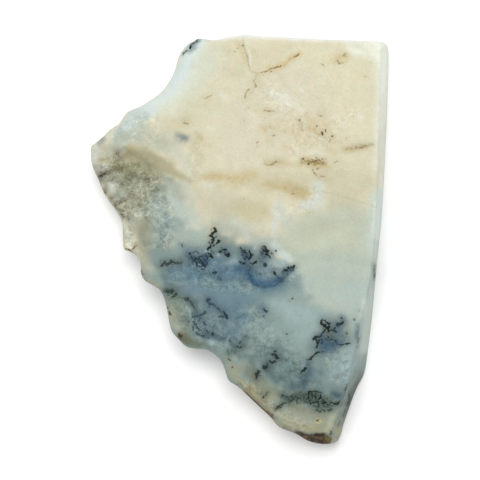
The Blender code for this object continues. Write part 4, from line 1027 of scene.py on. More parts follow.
# Dendrites, crumbs, cracks and pits. Each has its colour, how strong it is, how soft its edge is in
# millimetres, the length of its twigs on the grid, the reach of the haze round it in millimetres with
# the haze's strength, and its stems as chains of discs.
BLACK = (18, 30, 32)
TEAL_BLACK = (32, 52, 60)
BLUE_BLACK = (38, 58, 72)
GREEN_BLACK = (50, 62, 56)
VEIL = (84, 106, 114)
BROWN_BLACK = (62, 50, 30)
BROWN = (130, 106, 66)
SOFT_BROWN = (192, 177, 138)
FAINT_GREEN = (196, 196, 166)
PALE = (236, 236, 222)
HAZES = {
    BLACK: (96, 114, 116), TEAL_BLACK: (90, 112, 120), BLUE_BLACK: (92, 114, 124),
    GREEN_BLACK: (104, 118, 108), VEIL: (112, 132, 138), BROWN_BLACK: (164, 148, 108),
    BROWN: (198, 176, 130), SOFT_BROWN: (208, 194, 156),
}
INKS = (
    ("tall_tree", BLACK, 0.95, 0.12, 1.2, 0.5, 0.25, [
        [(213.2, 228, 0.6), (215.5, 228.3, 0.9), (216.2, 230.2, 1.1), (214.5, 232, 1), (212.2, 233, 1),
         (212.7, 235, 0.6)],
        [(209.6, 235.5, 0.8), (211.5, 236.3, 1), (213.2, 237.5, 0.9), (213.7, 239, 0.7), (213.3, 241, 1.1),
         (212.5, 243, 0.7)],
        [(214, 237.4, 0.4), (216.6, 237.2, 0.6)], [(211, 239.8, 0.5), (213, 240.2, 0.8)],
        [(209.5, 241, 0.5), (209.2, 242.5, 0.8), (209.8, 243.6, 0.5)],
        [(211.5, 245, 0.7), (210, 247, 0.8), (208.7, 248, 1), (208.3, 249.2, 0.7)],
        [(220.5, 240.4, 0.5), (218.7, 241.6, 1.2), (217, 243.4, 0.8), (215.4, 245, 0.7), (213.4, 246.3, 0.5)],
        [(208.8, 253.4, 0.7), (210.6, 255, 0.9), (212.2, 256.4, 1)],
    ]),
    ("tall_tree_soft", GREEN_BLACK, 0.6, 0.3, 1.0, 0.5, 0.2, [
        [(211.3, 229.5, 0.5)], [(211.5, 249.5, 0.7), (212.6, 251, 0.9), (213.2, 252.5, 0.7)],
        [(212.4, 243, 0.8), (211.5, 245, 0.8)],
    ]),
    ("small_arc", BLACK, 0.93, 0.15, 1.2, 0.6, 0.3, [
        [(219.3, 252.3, 0.7), (221.3, 251.2, 1)], [(223.4, 250.3, 0.8), (225.1, 249.6, 1.2)],
        [(224.3, 252.8, 0.6), (226, 254.5, 0.9), (227.6, 255.6, 0.9), (229.1, 254.4, 1.1),
         (229.3, 253.2, 0.8)],
    ]),
    ("small_arc_fill", (48, 68, 82), 0.5, 0.36, 1.2, 0.7, 0.14, [
        [(222.4, 251.4, 0.9), (225, 251.6, 1.2), (227.4, 253, 1.2)], [(219, 251.6, 0.7)],
        [(226.4, 249.4, 0.7)],
    ]),
    ("small_arc_soft", BLUE_BLACK, 0.6, 0.4, 1.0, 0.8, 0.3, [
        [(217.8, 251.5, 0.7)], [(226.3, 250.8, 0.8), (227.3, 251.8, 0.6)], [(222, 248.2, 0.7)],
        [(222, 251, 0.9), (224.5, 252, 0.8)],
    ]),
    ("left_moss", GREEN_BLACK, 0.86, 0.15, 1.6, 0.7, 0.35, [
        [(163, 265, 1.1), (164.6, 262.6, 0.9), (166, 261, 0.6)],
        [(166.4, 264, 1.1), (169, 263.6, 1.3), (171.4, 262.6, 1.4), (171, 260.4, 1)],
        [(173.5, 261.5, 1), (176, 262.5, 0.8), (180, 262.8, 0.6), (182.6, 262.4, 0.4)],
        [(161, 266, 0.7), (163.5, 264, 1)], [(168.6, 266, 0.6)], [(173.4, 264.4, 0.6)],
    ]),
    ("left_moss_veil", (100, 116, 116), 0.45, 1.3, 1.5, 0.8, 0.25, [
        [(160, 265, 1.6), (168, 263, 3), (176, 262, 2.4), (183, 261, 1.4)],
    ]),
    ("arms", TEAL_BLACK, 0.92, 0.14, 1.2, 0.7, 0.22, [
        [(189.8, 252.8, 0.8), (190.6, 254.4, 1.1)],
        [(196.2, 258.3, 1.2), (195.4, 260.6, 1), (197, 263, 1), (197.4, 265.4, 1.2), (199.5, 265.8, 0.7),
         (201.6, 266.4, 0.8)],
        [(199.3, 256.4, 0.8), (199.5, 258.4, 0.7), (201, 260.6, 0.8), (203, 262.6, 1), (204.6, 264.8, 1.5),
         (205.4, 267, 0.8)],
        [(199.3, 271.4, 0.6)],
    ]),
    ("arms_soft", (48, 72, 92), 0.48, 0.28, 1.4, 0.9, 0.14, [
        [(190.6, 254.5, 1.2), (190.4, 258, 1.2)],
        [(206.5, 253.6, 1.6), (205.6, 257, 2.2), (206, 261, 2.2), (205.2, 264, 1.6)], [(205, 270, 1)],
        [(218, 277, 1.2), (220.6, 278.2, 1.3)], [(194, 256, 1.3), (193, 260, 1.3)],
    ]),
    ("arms_fine", (22, 36, 46), 0.88, 0.15, 1.6, 0.8, 0.08, [
        [(191.6, 256.8, 0.6), (193.4, 258.8, 0.7), (194.8, 260.4, 0.5)],
        [(194, 252.6, 0.5), (196.4, 251, 0.6), (198.4, 252.8, 0.5)], [(200.8, 257, 0.5), (202.6, 255.6, 0.5)],
        [(198, 260.4, 0.6), (199.6, 262.6, 0.6)], [(205.4, 254.4, 0.7), (206.6, 256.4, 0.6)],
        [(208.6, 255.6, 0.5), (207.8, 258.4, 0.6)], [(204.4, 258.6, 0.5), (205.6, 260.6, 0.7)],
        [(207, 262, 0.6), (207.2, 264.6, 0.5)], [(193, 262, 0.4), (194.6, 264, 0.5)],
        [(202, 268.6, 0.5), (204, 269.4, 0.5)], [(187, 251.4, 0.5)], [(182.6, 244, 0.6), (182.8, 247, 0.5)],
        [(203, 266, 0.5)], [(206, 267.4, 0.4)],
    ]),
    ("arms_veil", VEIL, 0.2, 1.3, 1.4, 0.8, 0.2, [
        [(195, 249, 1.6), (199, 251, 2), (200, 257, 2.4), (199, 262, 3)], [(186, 252, 1.4), (190, 256, 2.2)],
    ]),
    ("lone_knot", TEAL_BLACK, 0.9, 0.15, 1.2, 0.7, 0.3, [
        [(213.4, 273, 1), (215.2, 272.3, 1.1), (216.1, 273.5, 0.6)],
    ]),
    ("centre_top", GREEN_BLACK, 0.88, 0.13, 0.8, 0.5, 0.25, [
        [(240.3, 247.3, 0.5), (241.3, 249.2, 0.7), (243, 250.3, 0.9), (245, 250.2, 0.8), (246.2, 249.2, 0.5)],
    ]),
    ("centre", BLACK, 0.94, 0.13, 1.2, 0.7, 0.22, [
        [(249.5, 250.7, 0.8), (249.6, 252.5, 0.8), (251.1, 254.6, 1.2), (252.4, 254.2, 0.6)],
        [(251, 254.6, 1), (250, 256.6, 0.9), (248.6, 258.4, 0.9)],
        [(252.2, 264.8, 0.6), (253.6, 263.6, 1), (255.5, 262.4, 1.2), (256.8, 260.9, 0.5)],
        [(250.2, 267.3, 0.9)],
    ]),
    ("centre_soft", (46, 70, 92), 0.52, 0.28, 1.4, 0.8, 0.14, [
        [(242.4, 252.6, 1.9), (245, 254, 2.1), (247.5, 257, 2.1), (248.8, 259.2, 1.5)],
        [(238.6, 261.6, 0.9), (240.4, 262.6, 1), (244.4, 262.8, 1.4), (246.8, 262.2, 0.7)],
        [(250.2, 277, 0.8), (250.5, 279.2, 1.2), (251.8, 281.4, 0.8)], [(250.6, 269, 0.9)],
        [(248.4, 265, 0.8)], [(246, 259.6, 0.7)],
    ]),
    ("centre_fine", (20, 34, 42), 0.9, 0.14, 1.4, 0.7, 0.08, [
        [(241.6, 252, 0.6), (243.6, 251.6, 0.6), (245.6, 252.6, 0.7), (247.4, 253.8, 0.6)],
        [(245.4, 255.8, 0.7), (247, 257.4, 0.8)], [(243, 254.6, 0.6), (241.4, 255.4, 0.4)],
        [(247.6, 250.6, 0.5)], [(249, 261.4, 0.5), (250.6, 263, 0.5)], [(248.6, 255.4, 0.5)],
        [(244.4, 258, 0.5), (246, 260, 0.6)], [(239, 261.6, 0.5), (241.6, 262.8, 0.6), (244.4, 263.2, 0.6)],
    ]),
    ("cup_ring", (46, 76, 100), 0.7, 0.34, 1.0, 0.6, 0.3, [
        [(248.6, 270, 0.8), (248.8, 274, 0.9), (249.8, 278, 0.8)],
        [(251.6, 281.6, 0.7), (254.4, 283.8, 0.9), (258, 284.8, 0.7)], [(262, 286, 0.5), (266, 286.6, 0.7)],
        [(271, 286, 0.5), (275, 284.6, 0.8), (278.4, 282.6, 0.7), (281.2, 279.6, 0.9)],
    ]),
    ("centre_veil", VEIL, 0.18, 1.3, 1.4, 0.8, 0.2, [
        [(243, 252, 3), (247, 256, 4), (245, 262, 3), (250, 266, 2)],
    ]),
    ("right_tree", BLACK, 0.94, 0.13, 1.0, 0.6, 0.22, [
        [(263, 246.2, 0.5), (264.4, 246.9, 0.8), (265.6, 247.8, 1.1), (265.2, 249.6, 0.8),
         (265.2, 250.8, 0.9), (267.4, 250.9, 1.1), (268.6, 249.8, 0.7)],
        [(267, 254.2, 0.6), (268.5, 255.6, 0.8), (270, 257.5, 0.7), (270.8, 258.4, 0.4)],
        [(275.2, 249.8, 0.6), (275.9, 250.9, 0.9)], [(271.7, 253.3, 0.9)],
    ]),
    ("right_tree_low", TEAL_BLACK, 0.9, 0.2, 1.0, 0.7, 0.3, [[(264.5, 262.8, 1.1), (264.9, 265.2, 1.6)]]),
    ("right_tree_soft", (60, 84, 104), 0.46, 0.3, 1.4, 0.8, 0.14, [
        [(261.6, 248.4, 1.4), (262, 251, 2.2), (263.6, 254, 1.8)], [(265.4, 256.8, 1.3)],
        [(260, 260.3, 1), (260.3, 262, 1.2)], [(258.6, 258, 0.8)],
    ]),
    ("right_tree_fine", (18, 30, 36), 0.9, 0.14, 1.4, 0.6, 0.08, [
        [(261.4, 248, 0.5), (263.2, 249.8, 0.7), (263.4, 251.6, 0.6)],
        [(266.4, 252.8, 0.7), (265.4, 254.6, 0.6)], [(261.6, 252.6, 0.6), (263, 254.6, 0.5)],
        [(264.2, 257, 0.5)], [(264.6, 248.8, 0.8), (264.8, 246.6, 0.7)], [(260.4, 255.6, 0.4)],
        [(268.6, 252.6, 0.5)], [(258.8, 258.4, 0.5)],
    ]),
    ("right_diagonal", BLACK, 0.93, 0.14, 1.2, 0.6, 0.3, [
        [(288.2, 267.6, 1.3)], [(290.7, 265.8, 0.8), (291.2, 267.4, 0.8)],
        [(293.3, 266, 0.9), (293.1, 267.6, 0.8)], [(283.6, 269.6, 0.6), (285, 270.2, 1.1), (286, 269.8, 0.6)],
        [(273.3, 271.2, 0.6), (274, 272.6, 1.1), (275, 273.8, 0.8)],
    ]),
    ("right_diagonal_soft", (40, 62, 84), 0.56, 0.36, 1.0, 0.7, 0.14, [
        [(286.6, 274.6, 1.1)], [(286, 272, 1), (289, 269.6, 1.4), (292, 269.4, 1.3)], [(296, 267.3, 0.7)],
        [(282, 271.5, 0.9), (283, 273, 0.8)],
        [(275, 273.8, 0.6), (276.4, 275.6, 0.4), (278, 277.6, 0.4), (279.2, 278.8, 0.5)], [(281.3, 279.2, 1)],
        [(259.9, 274, 0.9)], [(284, 276.4, 0.8)],
    ]),
    ("edge_moss", GREEN_BLACK, 0.92, 0.14, 1.8, 0.7, 0.35, [
        [(166.5, 291.5, 0.9), (168.5, 291, 0.9), (170, 290.7, 1.2), (172.5, 291, 1.2), (174.5, 291.5, 0.8)],
        [(172.7, 288.7, 0.8), (173, 290, 1)],
        [(177, 294.5, 0.9), (175, 295.2, 0.8), (174, 296.3, 0.8), (172.7, 296.8, 0.5)],
    ]),
    ("edge_moss_soft", (78, 94, 88), 0.7, 0.3, 1.2, 0.6, 0.2, [
        [(168, 288.7, 0.8)], [(168.3, 293.3, 1)], [(166, 291, 1.4), (172, 291, 2), (176, 294, 1.5)],
    ]),
    ("edge_moss_fine", (48, 58, 50), 0.82, 0.18, 1.4, 0.7, 0.08, [
        [(167, 289.6, 0.6), (169.4, 289.4, 0.7)], [(171, 292.8, 0.8), (173.6, 293.4, 0.7)],
        [(168.6, 293.8, 0.6), (170, 295, 0.5)], [(175.6, 293, 0.6), (177.6, 292.4, 0.4)],
    ]),
    ("small_moss", GREEN_BLACK, 0.85, 0.13, 1.0, 0.6, 0.25, [
        [(186.5, 296.4, 0.6)], [(188.5, 297.7, 0.9), (189, 299, 0.9), (187, 299.8, 0.8), (185.5, 299.6, 0.7)],
        [(191.7, 302.5, 0.4), (192.5, 304, 0.8), (193.7, 305.5, 0.6)],
    ]),
    ("small_moss_links", (54, 66, 60), 0.76, 0.2, 1.0, 0.6, 0.25, [
        [(179.4, 296.6, 0.4), (183, 297.4, 0.5), (186, 297.6, 0.6)], [(189.6, 299.6, 0.5), (191, 301.6, 0.5)],
        [(193.6, 306.6, 0.5), (195.6, 308, 0.4)], [(206, 297, 0.6), (207.6, 299, 0.7), (209.8, 300, 0.7)],
        [(213.6, 304.6, 0.5), (216, 306, 0.5), (218.4, 308.6, 0.5), (221, 310.6, 0.5), (223.4, 311, 0.5)],
    ]),
    ("string", TEAL_BLACK, 0.88, 0.15, 1.0, 0.7, 0.3, [
        [(223.5, 311, 0.7), (225, 313.3, 0.9), (226.5, 314.8, 1), (227.7, 316.5, 1.3), (226.5, 318.2, 0.9)],
    ]),
    ("string_soft", BLUE_BLACK, 0.8, 0.2, 1.4, 0.7, 0.25, [
        [(209.3, 298.2, 1), (208, 299.5, 1), (207.5, 301.3, 0.8), (209.5, 302.8, 0.9), (211.5, 303.8, 1),
         (212.8, 303.8, 0.9)],
        [(209.5, 306.3, 1)], [(218.5, 308, 1.4)], [(219.5, 316.5, 0.9), (222, 316, 0.8), (224.5, 315.5, 0.7)],
    ]),
    ("mottled_moss", BLUE_BLACK, 0.82, 0.2, 1.6, 0.7, 0.3, [
        [(193.2, 316.4, 0.7), (196, 315.8, 0.8), (199, 315, 0.5), (202.8, 313.4, 0.8), (205.6, 311.4, 0.9)],
        [(194, 321, 0.8), (195.6, 323.6, 1.1), (197.6, 326.6, 0.7), (201, 329.6, 0.6)],
        [(196.4, 331.4, 0.5), (199.4, 333.8, 0.8), (202.6, 335.6, 0.8), (205.4, 336.4, 0.9)],
        [(193.2, 325.6, 0.6), (193.2, 329.6, 0.9)], [(203.4, 321, 0.5), (206, 324, 0.6)], [(209, 337.5, 1)],
        [(195.4, 319, 0.7)], [(198.6, 320.4, 0.5), (201, 317.6, 0.5)],
        [(206.6, 329.4, 0.5), (208.6, 332.4, 0.6)], [(188.4, 319.4, 0.4), (190, 323, 0.4)],
    ]),
    ("moss_knot", BLACK, 0.86, 0.2, 1.2, 0.8, 0.3, [[(213, 332, 0.8), (212.8, 333.5, 1.4)]]),
    ("edge_crumbs", BROWN_BLACK, 0.8, 0.14, 1.0, 0.5, 0.2, [
        [(167.5, 307.3, 1.1)], [(169.8, 311.7, 0.8), (170.5, 313.5, 0.9), (171.5, 314.2, 0.6)],
        [(179.8, 333.8, 1.2), (180.5, 336, 1), (182.5, 335.3, 0.8)], [(180.8, 338.5, 0.7)],
        [(142, 271, 0.5), (144, 274, 0.6)], [(232.5, 366, 0.9)], [(229, 358, 0.7), (230.5, 360, 0.5)],
    ]),
    ("edge_crumbs_veil", (108, 112, 92), 0.6, 1.3, 1.0, 0.5, 0.2, [[(183, 336, 2), (188, 337, 3)]]),
    ("soft_knot", BLUE_BLACK, 0.86, 0.2, 1.4, 0.8, 0.3, [
        [(264, 308.5, 0.8), (265, 310.5, 1.2), (266, 311.7, 0.7)], [(263.2, 315, 1)],
    ]),
    ("soft_knot_veil", VEIL, 0.6, 1.3, 1.2, 0.8, 0.25, [
        [(258.5, 307, 0.8), (262, 309, 1.8), (262.5, 311.5, 1.5)],
    ]),
    ("low_knots", BLUE_BLACK, 0.84, 0.2, 1.4, 0.8, 0.3, [
        [(245.5, 336.3, 1)], [(240.5, 340.5, 0.6), (240, 342.2, 0.9), (239.5, 343, 0.5)],
        [(236.5, 344.5, 0.7), (238, 346, 0.8), (240, 346.5, 0.7), (242, 345.5, 0.7)],
        [(229.5, 339, 0.6), (230.5, 341.5, 0.7)],
    ]),
    ("low_knots_veil", (90, 106, 104), 0.7, 1.3, 1.2, 0.8, 0.25, [
        [(247, 335, 1.2), (248, 338, 1.2)], [(233, 347.5, 1.6)], [(229.5, 350, 1.3)], [(243, 344, 2)],
    ]),
    ("chain", (20, 32, 32), 0.86, 0.2, 1.4, 0.6, 0.3, [
        [(274, 350.3, 0.6), (275.3, 350.6, 1)],
        [(272, 352.3, 0.8), (274, 353.3, 1), (276, 354.8, 1), (277.3, 356.5, 1), (277.8, 357.8, 0.9)],
        [(275, 357.5, 0.5), (274.6, 360, 0.8), (273, 361.7, 1), (271, 361.3, 0.6), (269.7, 360, 0.6)],
        [(260, 370, 0.6), (258.5, 370.8, 1.2), (257, 372.2, 1), (255.6, 374, 1), (256.5, 376, 0.9),
         (255.7, 377.5, 0.4)],
        [(257, 374.6, 0.5), (259.8, 374.3, 0.4)],
        [(267.3, 362.5, 0.5), (266.7, 365, 0.7), (265, 367, 1.1), (263.3, 366, 1.2), (264.5, 364.8, 0.5)],
    ]),
    ("short_twig", BLACK, 0.9, 0.12, 0.6, 0.5, 0.25, [
        [(300, 372.5, 0.6), (301.5, 371, 0.8), (303.5, 369, 1), (305, 367, 1.2)],
    ]),
    ("tree_loop", BLACK, 0.94, 0.13, 0.8, 0.5, 0.25, [
        [(321.3, 318.7, 0.5), (323.5, 319.6, 0.5), (325.6, 321.3, 0.6), (327.5, 323, 0.7), (328.4, 324.7, 1),
         (327.6, 326.6, 1.2)],
        [(321.3, 318.7, 0.6), (320.6, 321, 0.9), (321, 323, 1.1), (322.6, 324.6, 1.2), (324.6, 325.8, 1.3),
         (327, 327, 1.2)],
        [(329, 323.4, 0.5), (330.2, 322, 0.3)], [(328, 328, 0.9), (327.6, 330, 1), (328.4, 331.4, 0.7)],
        [(324.2, 328.6, 0.6), (323.8, 331, 0.7), (323, 333.4, 0.7)],
        [(322.4, 330.6, 0.4), (321.2, 333.2, 0.7), (320, 335.6, 0.7)],
        [(326, 335.4, 0.5), (327.2, 335.8, 0.9), (327.6, 337.2, 0.5)], [(324.8, 334.4, 0.5)],
        [(329.6, 329.6, 0.5), (331.4, 328.6, 0.5)], [(325.6, 331.6, 0.4), (326, 333.6, 0.4)],
    ]),
    ("tree_wash", (92, 98, 90), 0.5, 0.9, 1.0, 0.8, 0.2, [
        [(324, 321, 1.2), (326, 324, 1.6), (327, 330, 2), (325, 334, 2.4)], [(332, 326, 1.4), (333, 332, 2)],
        [(320, 337, 2)],
    ]),
    ("tree_left_arm", (30, 38, 32), 0.92, 0.14, 0.9, 0.5, 0.25, [
        [(320, 335.8, 0.7), (317.9, 336.3, 0.8), (315.6, 336.5, 1), (313.8, 337.2, 1.2), (312.7, 338.8, 0.8)],
        [(315.2, 338, 0.8), (316.2, 340, 0.8), (317, 342.4, 0.8), (316.6, 344.6, 0.6), (315.6, 346, 1)],
        [(318, 338.4, 0.5), (319, 340.6, 0.5)],
    ]),
    ("tree_right", (24, 40, 48), 0.92, 0.15, 0.9, 0.6, 0.3, [
        [(340.7, 317.2, 0.8)],
        [(341.2, 320.6, 0.6), (341.4, 322.3, 0.9), (338.8, 323.4, 0.9), (336.3, 322.8, 1.2),
         (336.4, 324.6, 0.8)],
        [(334.4, 327.3, 1.1)], [(332.2, 329, 0.6), (334.2, 330.2, 1), (335.8, 331.4, 0.8)],
        [(337.6, 325.6, 0.7)], [(342.4, 321, 0.5)],
    ]),
    ("tree_right_veil", (86, 110, 122), 0.62, 1.0, 1.0, 0.7, 0.25, [
        [(341, 319, 1.4), (340, 323, 2.4), (337.5, 327, 2.4), (336, 331, 2.2)],
        [(339, 334, 2.6), (342, 338, 3)],
    ]),
    ("tree_core", (34, 54, 72), 0.9, 0.3, 1.4, 0.6, 0.2, [
        [(320.6, 338, 1), (321.6, 340.4, 1.3), (321.4, 343, 1)], [(324, 338.4, 0.9), (327.6, 339, 0.8)],
        [(322.4, 350.2, 0.9)], [(323.4, 348, 0.5)], [(319.6, 351, 0.7)], [(325.4, 342.6, 0.6)],
        [(321.4, 346.2, 0.7)], [(324.6, 346, 0.4)],
    ]),
    ("tree_core_veil", (70, 96, 116), 0.74, 1.7, 1.0, 0.6, 0.1, [
        [(322, 341, 3.4), (326, 345, 4.4), (330, 345, 4)],
    ]),
    ("tree_arm_right", (46, 62, 70), 0.88, 0.16, 0.8, 0.6, 0.3, [
        [(329.6, 338.8, 0.7), (332, 338.9, 0.8), (333.8, 339.6, 0.9), (335.4, 341.6, 0.7),
         (336.8, 343.4, 0.5)],
        [(331, 341, 0.4), (333, 342, 0.4)],
    ]),
    ("tree_arc", BLACK, 0.9, 0.12, 0.3, 0.5, 0.25, [
        [(337, 343.6, 0.3), (340, 344, 0.5), (343.2, 343.3, 0.6), (346, 342.5, 0.9), (347.8, 342.5, 0.5),
         (350, 342.6, 0.3)],
    ]),
    ("tree_tail", BLACK, 0.88, 0.13, 0.5, 0.6, 0.25, [
        [(319.4, 351, 0.6), (317, 351.6, 0.7), (315.4, 352.4, 0.8), (313.6, 354, 0.7), (312, 355.6, 0.8),
         (310.4, 357, 1.1), (309, 358, 0.7), (306, 358.8, 0.3)],
    ]),
    ("right_specks", GREEN_BLACK, 0.66, 0.24, 0.6, 0.5, 0.2, [
        [(346.2, 332.3, 1.1)], [(353.2, 319, 1.3)],
        [(357.8, 337, 0.5), (357.5, 339.5, 0.7), (356.7, 342, 0.4)], [(356.5, 346.3, 0.6)], [(358, 310, 0.5)],
    ]),
    ("moss_core", BLACK, 0.9, 0.15, 1.6, 0.7, 0.35, [
        [(308.2, 390.4, 0.7), (307.9, 393, 0.9), (308, 395.6, 0.8), (308.6, 398.4, 0.5), (309.2, 400.8, 0.8),
         (310, 402.8, 0.7)],
        [(309, 390.3, 0.6), (312, 390.2, 0.6), (314.8, 390, 0.6), (318, 390.8, 0.5), (321.2, 391.4, 0.4)],
        [(311.2, 391.6, 0.7), (312.6, 394, 0.6), (311.6, 396.6, 0.6)],
        [(314.8, 391.6, 0.5), (314, 394.2, 0.5), (315.6, 397, 0.6)],
        [(319.8, 393.8, 0.6), (319.6, 395.6, 1), (318.6, 398.2, 0.8)],
        [(321.4, 397, 0.6), (323.4, 398.6, 0.5)],
        [(313.2, 401.8, 0.9), (315.6, 400.8, 0.7), (318, 399.4, 0.6)],
        [(317.6, 401.4, 0.6), (318.2, 403.4, 0.8), (318, 405.6, 1)],
        [(321.8, 401.6, 0.8), (324.2, 400.8, 0.7), (326.2, 402.8, 0.8)],
        [(329.2, 401.2, 0.6), (332.4, 401.6, 0.7), (335.6, 402.8, 0.9), (338, 401.2, 0.7),
         (339.2, 398.8, 0.4)],
    ]),
    ("moss_soft", GREEN_BLACK, 0.84, 0.2, 1.8, 0.6, 0.35, [
        [(282, 394.4, 0.7), (280.4, 396, 0.4)], [(288.4, 400.6, 0.6), (291.4, 398.8, 0.8), (293.6, 397, 0.8)],
        [(290.4, 394.8, 0.8), (292.2, 397, 0.9)], [(294, 396.4, 0.7), (295.6, 393.6, 0.6)],
        [(297.2, 396, 0.7), (296.4, 399.2, 0.7)],
        [(299.6, 394.4, 0.6), (302, 394, 0.5), (303.6, 396.6, 0.6), (301.4, 398.8, 0.7)],
        [(305.2, 399.2, 0.6), (306.6, 396.6, 0.5)],
        [(315.6, 407.2, 0.8), (317.6, 408.8, 0.6), (319.6, 410.6, 0.7)], [(322, 404, 0.7), (324, 405.6, 0.5)],
        [(321.2, 408, 0.7), (324.4, 409.6, 0.8)], [(327.6, 408, 0.7), (330.8, 408.4, 1)],
        [(326.6, 404.6, 0.6), (328.6, 403.6, 0.6)], [(316.4, 394.6, 0.5), (317, 392.6, 0.5)],
        [(310, 398, 0.6), (312.4, 399.4, 0.6)], [(324.4, 396.6, 0.5), (326.6, 398.4, 0.5)],
        [(299, 391.4, 0.4), (302, 390.6, 0.4)],
    ]),
    ("moss_fine", (46, 58, 50), 0.78, 0.18, 1.6, 0.6, 0.08, [
        [(284, 393.4, 0.5), (286, 395.6, 0.6), (288.6, 396.6, 0.6)],
        [(286.6, 398.6, 0.5), (289.4, 397.2, 0.5)], [(292.6, 392.8, 0.5), (294.4, 391.4, 0.5)],
        [(298.6, 397.6, 0.6), (300.4, 396.4, 0.5)], [(303, 392.6, 0.6), (305.4, 393.8, 0.6)],
        [(304, 400.4, 0.6), (307, 401.2, 0.6)], [(296.6, 401, 0.5), (299.6, 401.6, 0.5)],
        [(309.8, 392.4, 0.6), (311, 394.6, 0.6)], [(313.4, 397.6, 0.7), (316.4, 398.8, 0.6)],
        [(320, 400.2, 0.6), (322.6, 399.8, 0.6)], [(312.6, 404.6, 0.7), (314.8, 405.4, 0.7)],
        [(319.6, 406.6, 0.6), (321.4, 405.6, 0.5)], [(324.6, 403.8, 0.6), (327, 405.8, 0.6)],
        [(330.6, 403.6, 0.5), (333, 405, 0.5)], [(328.6, 399.6, 0.5), (331.4, 398.6, 0.4)],
        [(334, 399.8, 0.4), (336.6, 400.6, 0.5)],
    ]),
    ("moss_veil", (84, 98, 90), 0.4, 1.3, 1.6, 0.6, 0.2, [
        [(291, 397, 1.6), (294, 395.6, 2), (299, 396, 2.4), (304, 397, 1.6)],
        [(309, 394, 2.4), (314, 395, 3.2), (320, 396, 2.4)],
        [(311, 401, 1.6), (318, 403, 3), (324, 404, 2.6), (329, 406, 1.4)], [(330, 401, 1), (336, 402, 1.2)],
    ]),
    ("moss_blue", (74, 96, 108), 0.7, 0.4, 1.0, 0.6, 0.2, [[(334.5, 392.3, 1), (337, 394.5, 1.5)]]),
    ("moss_tail", (50, 56, 44), 0.86, 0.18, 1.2, 0.5, 0.3, [
        [(281.2, 403.2, 0.7), (284.4, 401.6, 0.6), (288, 400.9, 0.5)],
        [(275.6, 407.6, 0.6), (277, 406.4, 0.8), (278.4, 404.8, 1), (280.4, 403.8, 0.7)],
        [(279.6, 406.2, 0.7), (281.4, 405.4, 0.5)],
        [(262.3, 396.3, 0.8), (264.3, 394.8, 0.6), (265.8, 393, 0.5), (267, 391.3, 0.4)],
    ]),
    ("side_streaks", GREEN_BLACK, 0.85, 0.15, 0.5, 0.5, 0.3, [
        [(348.5, 393, 0.6), (349.6, 398, 0.8), (349, 402, 0.9), (347, 406, 0.7)],
        [(345.5, 410, 0.5), (343.5, 416.5, 0.6)], [(346, 384, 0.4), (344, 389, 0.6)],
        [(374, 265, 0.5), (373.5, 271, 0.6), (375, 277, 0.7)],
        [(330.4, 429.5, 0.5), (330.3, 431.5, 0.8), (329.5, 433.5, 0.5)], [(340, 420, 0.5), (337.5, 425, 0.6)],
        [(340.3, 424.3, 0.6)],
    ]),
    ("nub_streaks", BLACK, 0.97, 0.1, 0.3, 0.3, 0.2, [
        [(198, 41, 0.4), (194.5, 43.7, 0.6), (191, 46.5, 0.8), (190.2, 49.8, 1.2)],
        [(187, 51.5, 0.5), (184.8, 53.5, 0.6), (182.7, 56, 0.4)],
    ]),
    ("hollow_crumbs", (80, 70, 48), 0.78, 0.2, 1.6, 0.5, 0.3, [
        [(100, 176.6, 0.7), (102.4, 174.6, 1.1), (105, 174.6, 1.1), (107, 172, 0.6)],
        [(99, 174, 0.5), (102, 172.4, 0.6)], [(98.5, 182, 0.3), (99.5, 185, 0.4)],
        [(116.8, 153.4, 0.5), (117.6, 155, 0.5)], [(119, 152.6, 0.3), (119.4, 156.6, 0.4)],
        [(128, 199, 0.3), (125, 200.6, 0.5), (121.6, 202, 0.5), (118.6, 204, 0.3)],
        [(117, 208, 0.4), (120.6, 209.6, 0.5), (123.6, 211, 0.6)], [(104, 190, 0.4), (106, 193, 0.5)],
        [(109, 196, 0.4), (112, 199, 0.4)], [(115, 204, 0.4), (116, 207, 0.5)], [(129, 219.5, 0.7)],
        [(125.5, 206.5, 0.5)], [(121, 214, 0.4), (124, 216.6, 0.4)], [(128, 213, 0.4)], [(110, 201, 0.4)],
    ]),
    ("hollow_clefts", (104, 102, 76), 0.6, 0.3, 1.8, 0.5, 0.2, [
        [(110, 172, 0.4), (114, 170, 0.6), (118, 168, 0.4)],
        [(126, 178, 0.4), (130, 180, 0.6), (134, 177, 0.6)], [(121, 184, 0.4), (124, 186, 0.5)],
        [(146, 179, 0.4), (150, 180, 0.6)], [(130, 194, 0.4), (134, 196, 0.5)],
        [(151, 191, 0.4), (156, 191, 0.6), (160, 190, 0.4)], [(118, 165, 0.4), (121, 167.5, 0.5)],
        [(139, 205, 0.4), (142, 208, 0.4)],
    ]),
    ("fissure", BROWN_BLACK, 0.85, 0.1, 0.2, 0.3, 0.2, [
        [(125.5, 248.5, 0.3), (129.5, 249.5, 0.6), (133, 252.5, 0.4)],
        [(132.5, 250, 0.4), (135, 247.5, 0.4), (137, 246, 0.25)],
    ]),
    ("dirt", BROWN_BLACK, 0.85, 0.16, 0.6, 0.5, 0.12, [
        [(308, 164.3, 1.1)], [(301.8, 159.2, 0.5), (303.6, 161, 0.5)], [(305.6, 162.8, 0.5)],
        [(311, 162.2, 0.6)], [(313, 162.6, 0.7)], [(314.8, 161.4, 0.7)], [(316.6, 160.6, 0.6)],
        [(315.6, 158.4, 0.6)], [(318.5, 160.4, 0.5)], [(321, 159.8, 0.3), (325, 159.4, 0.3)],
        [(300.4, 163.4, 0.5)],
    ]),
    ("dirt_amber", (130, 98, 48), 0.72, 0.22, 0.8, 0.5, 0.12, [
        [(309, 163, 0.4), (313, 163.6, 0.5), (317, 162.4, 0.5)],
        [(313, 165.6, 0.4), (318, 164.4, 0.5), (323, 163.6, 0.4)], [(302, 163, 0.5)], [(319, 161.6, 0.6)],
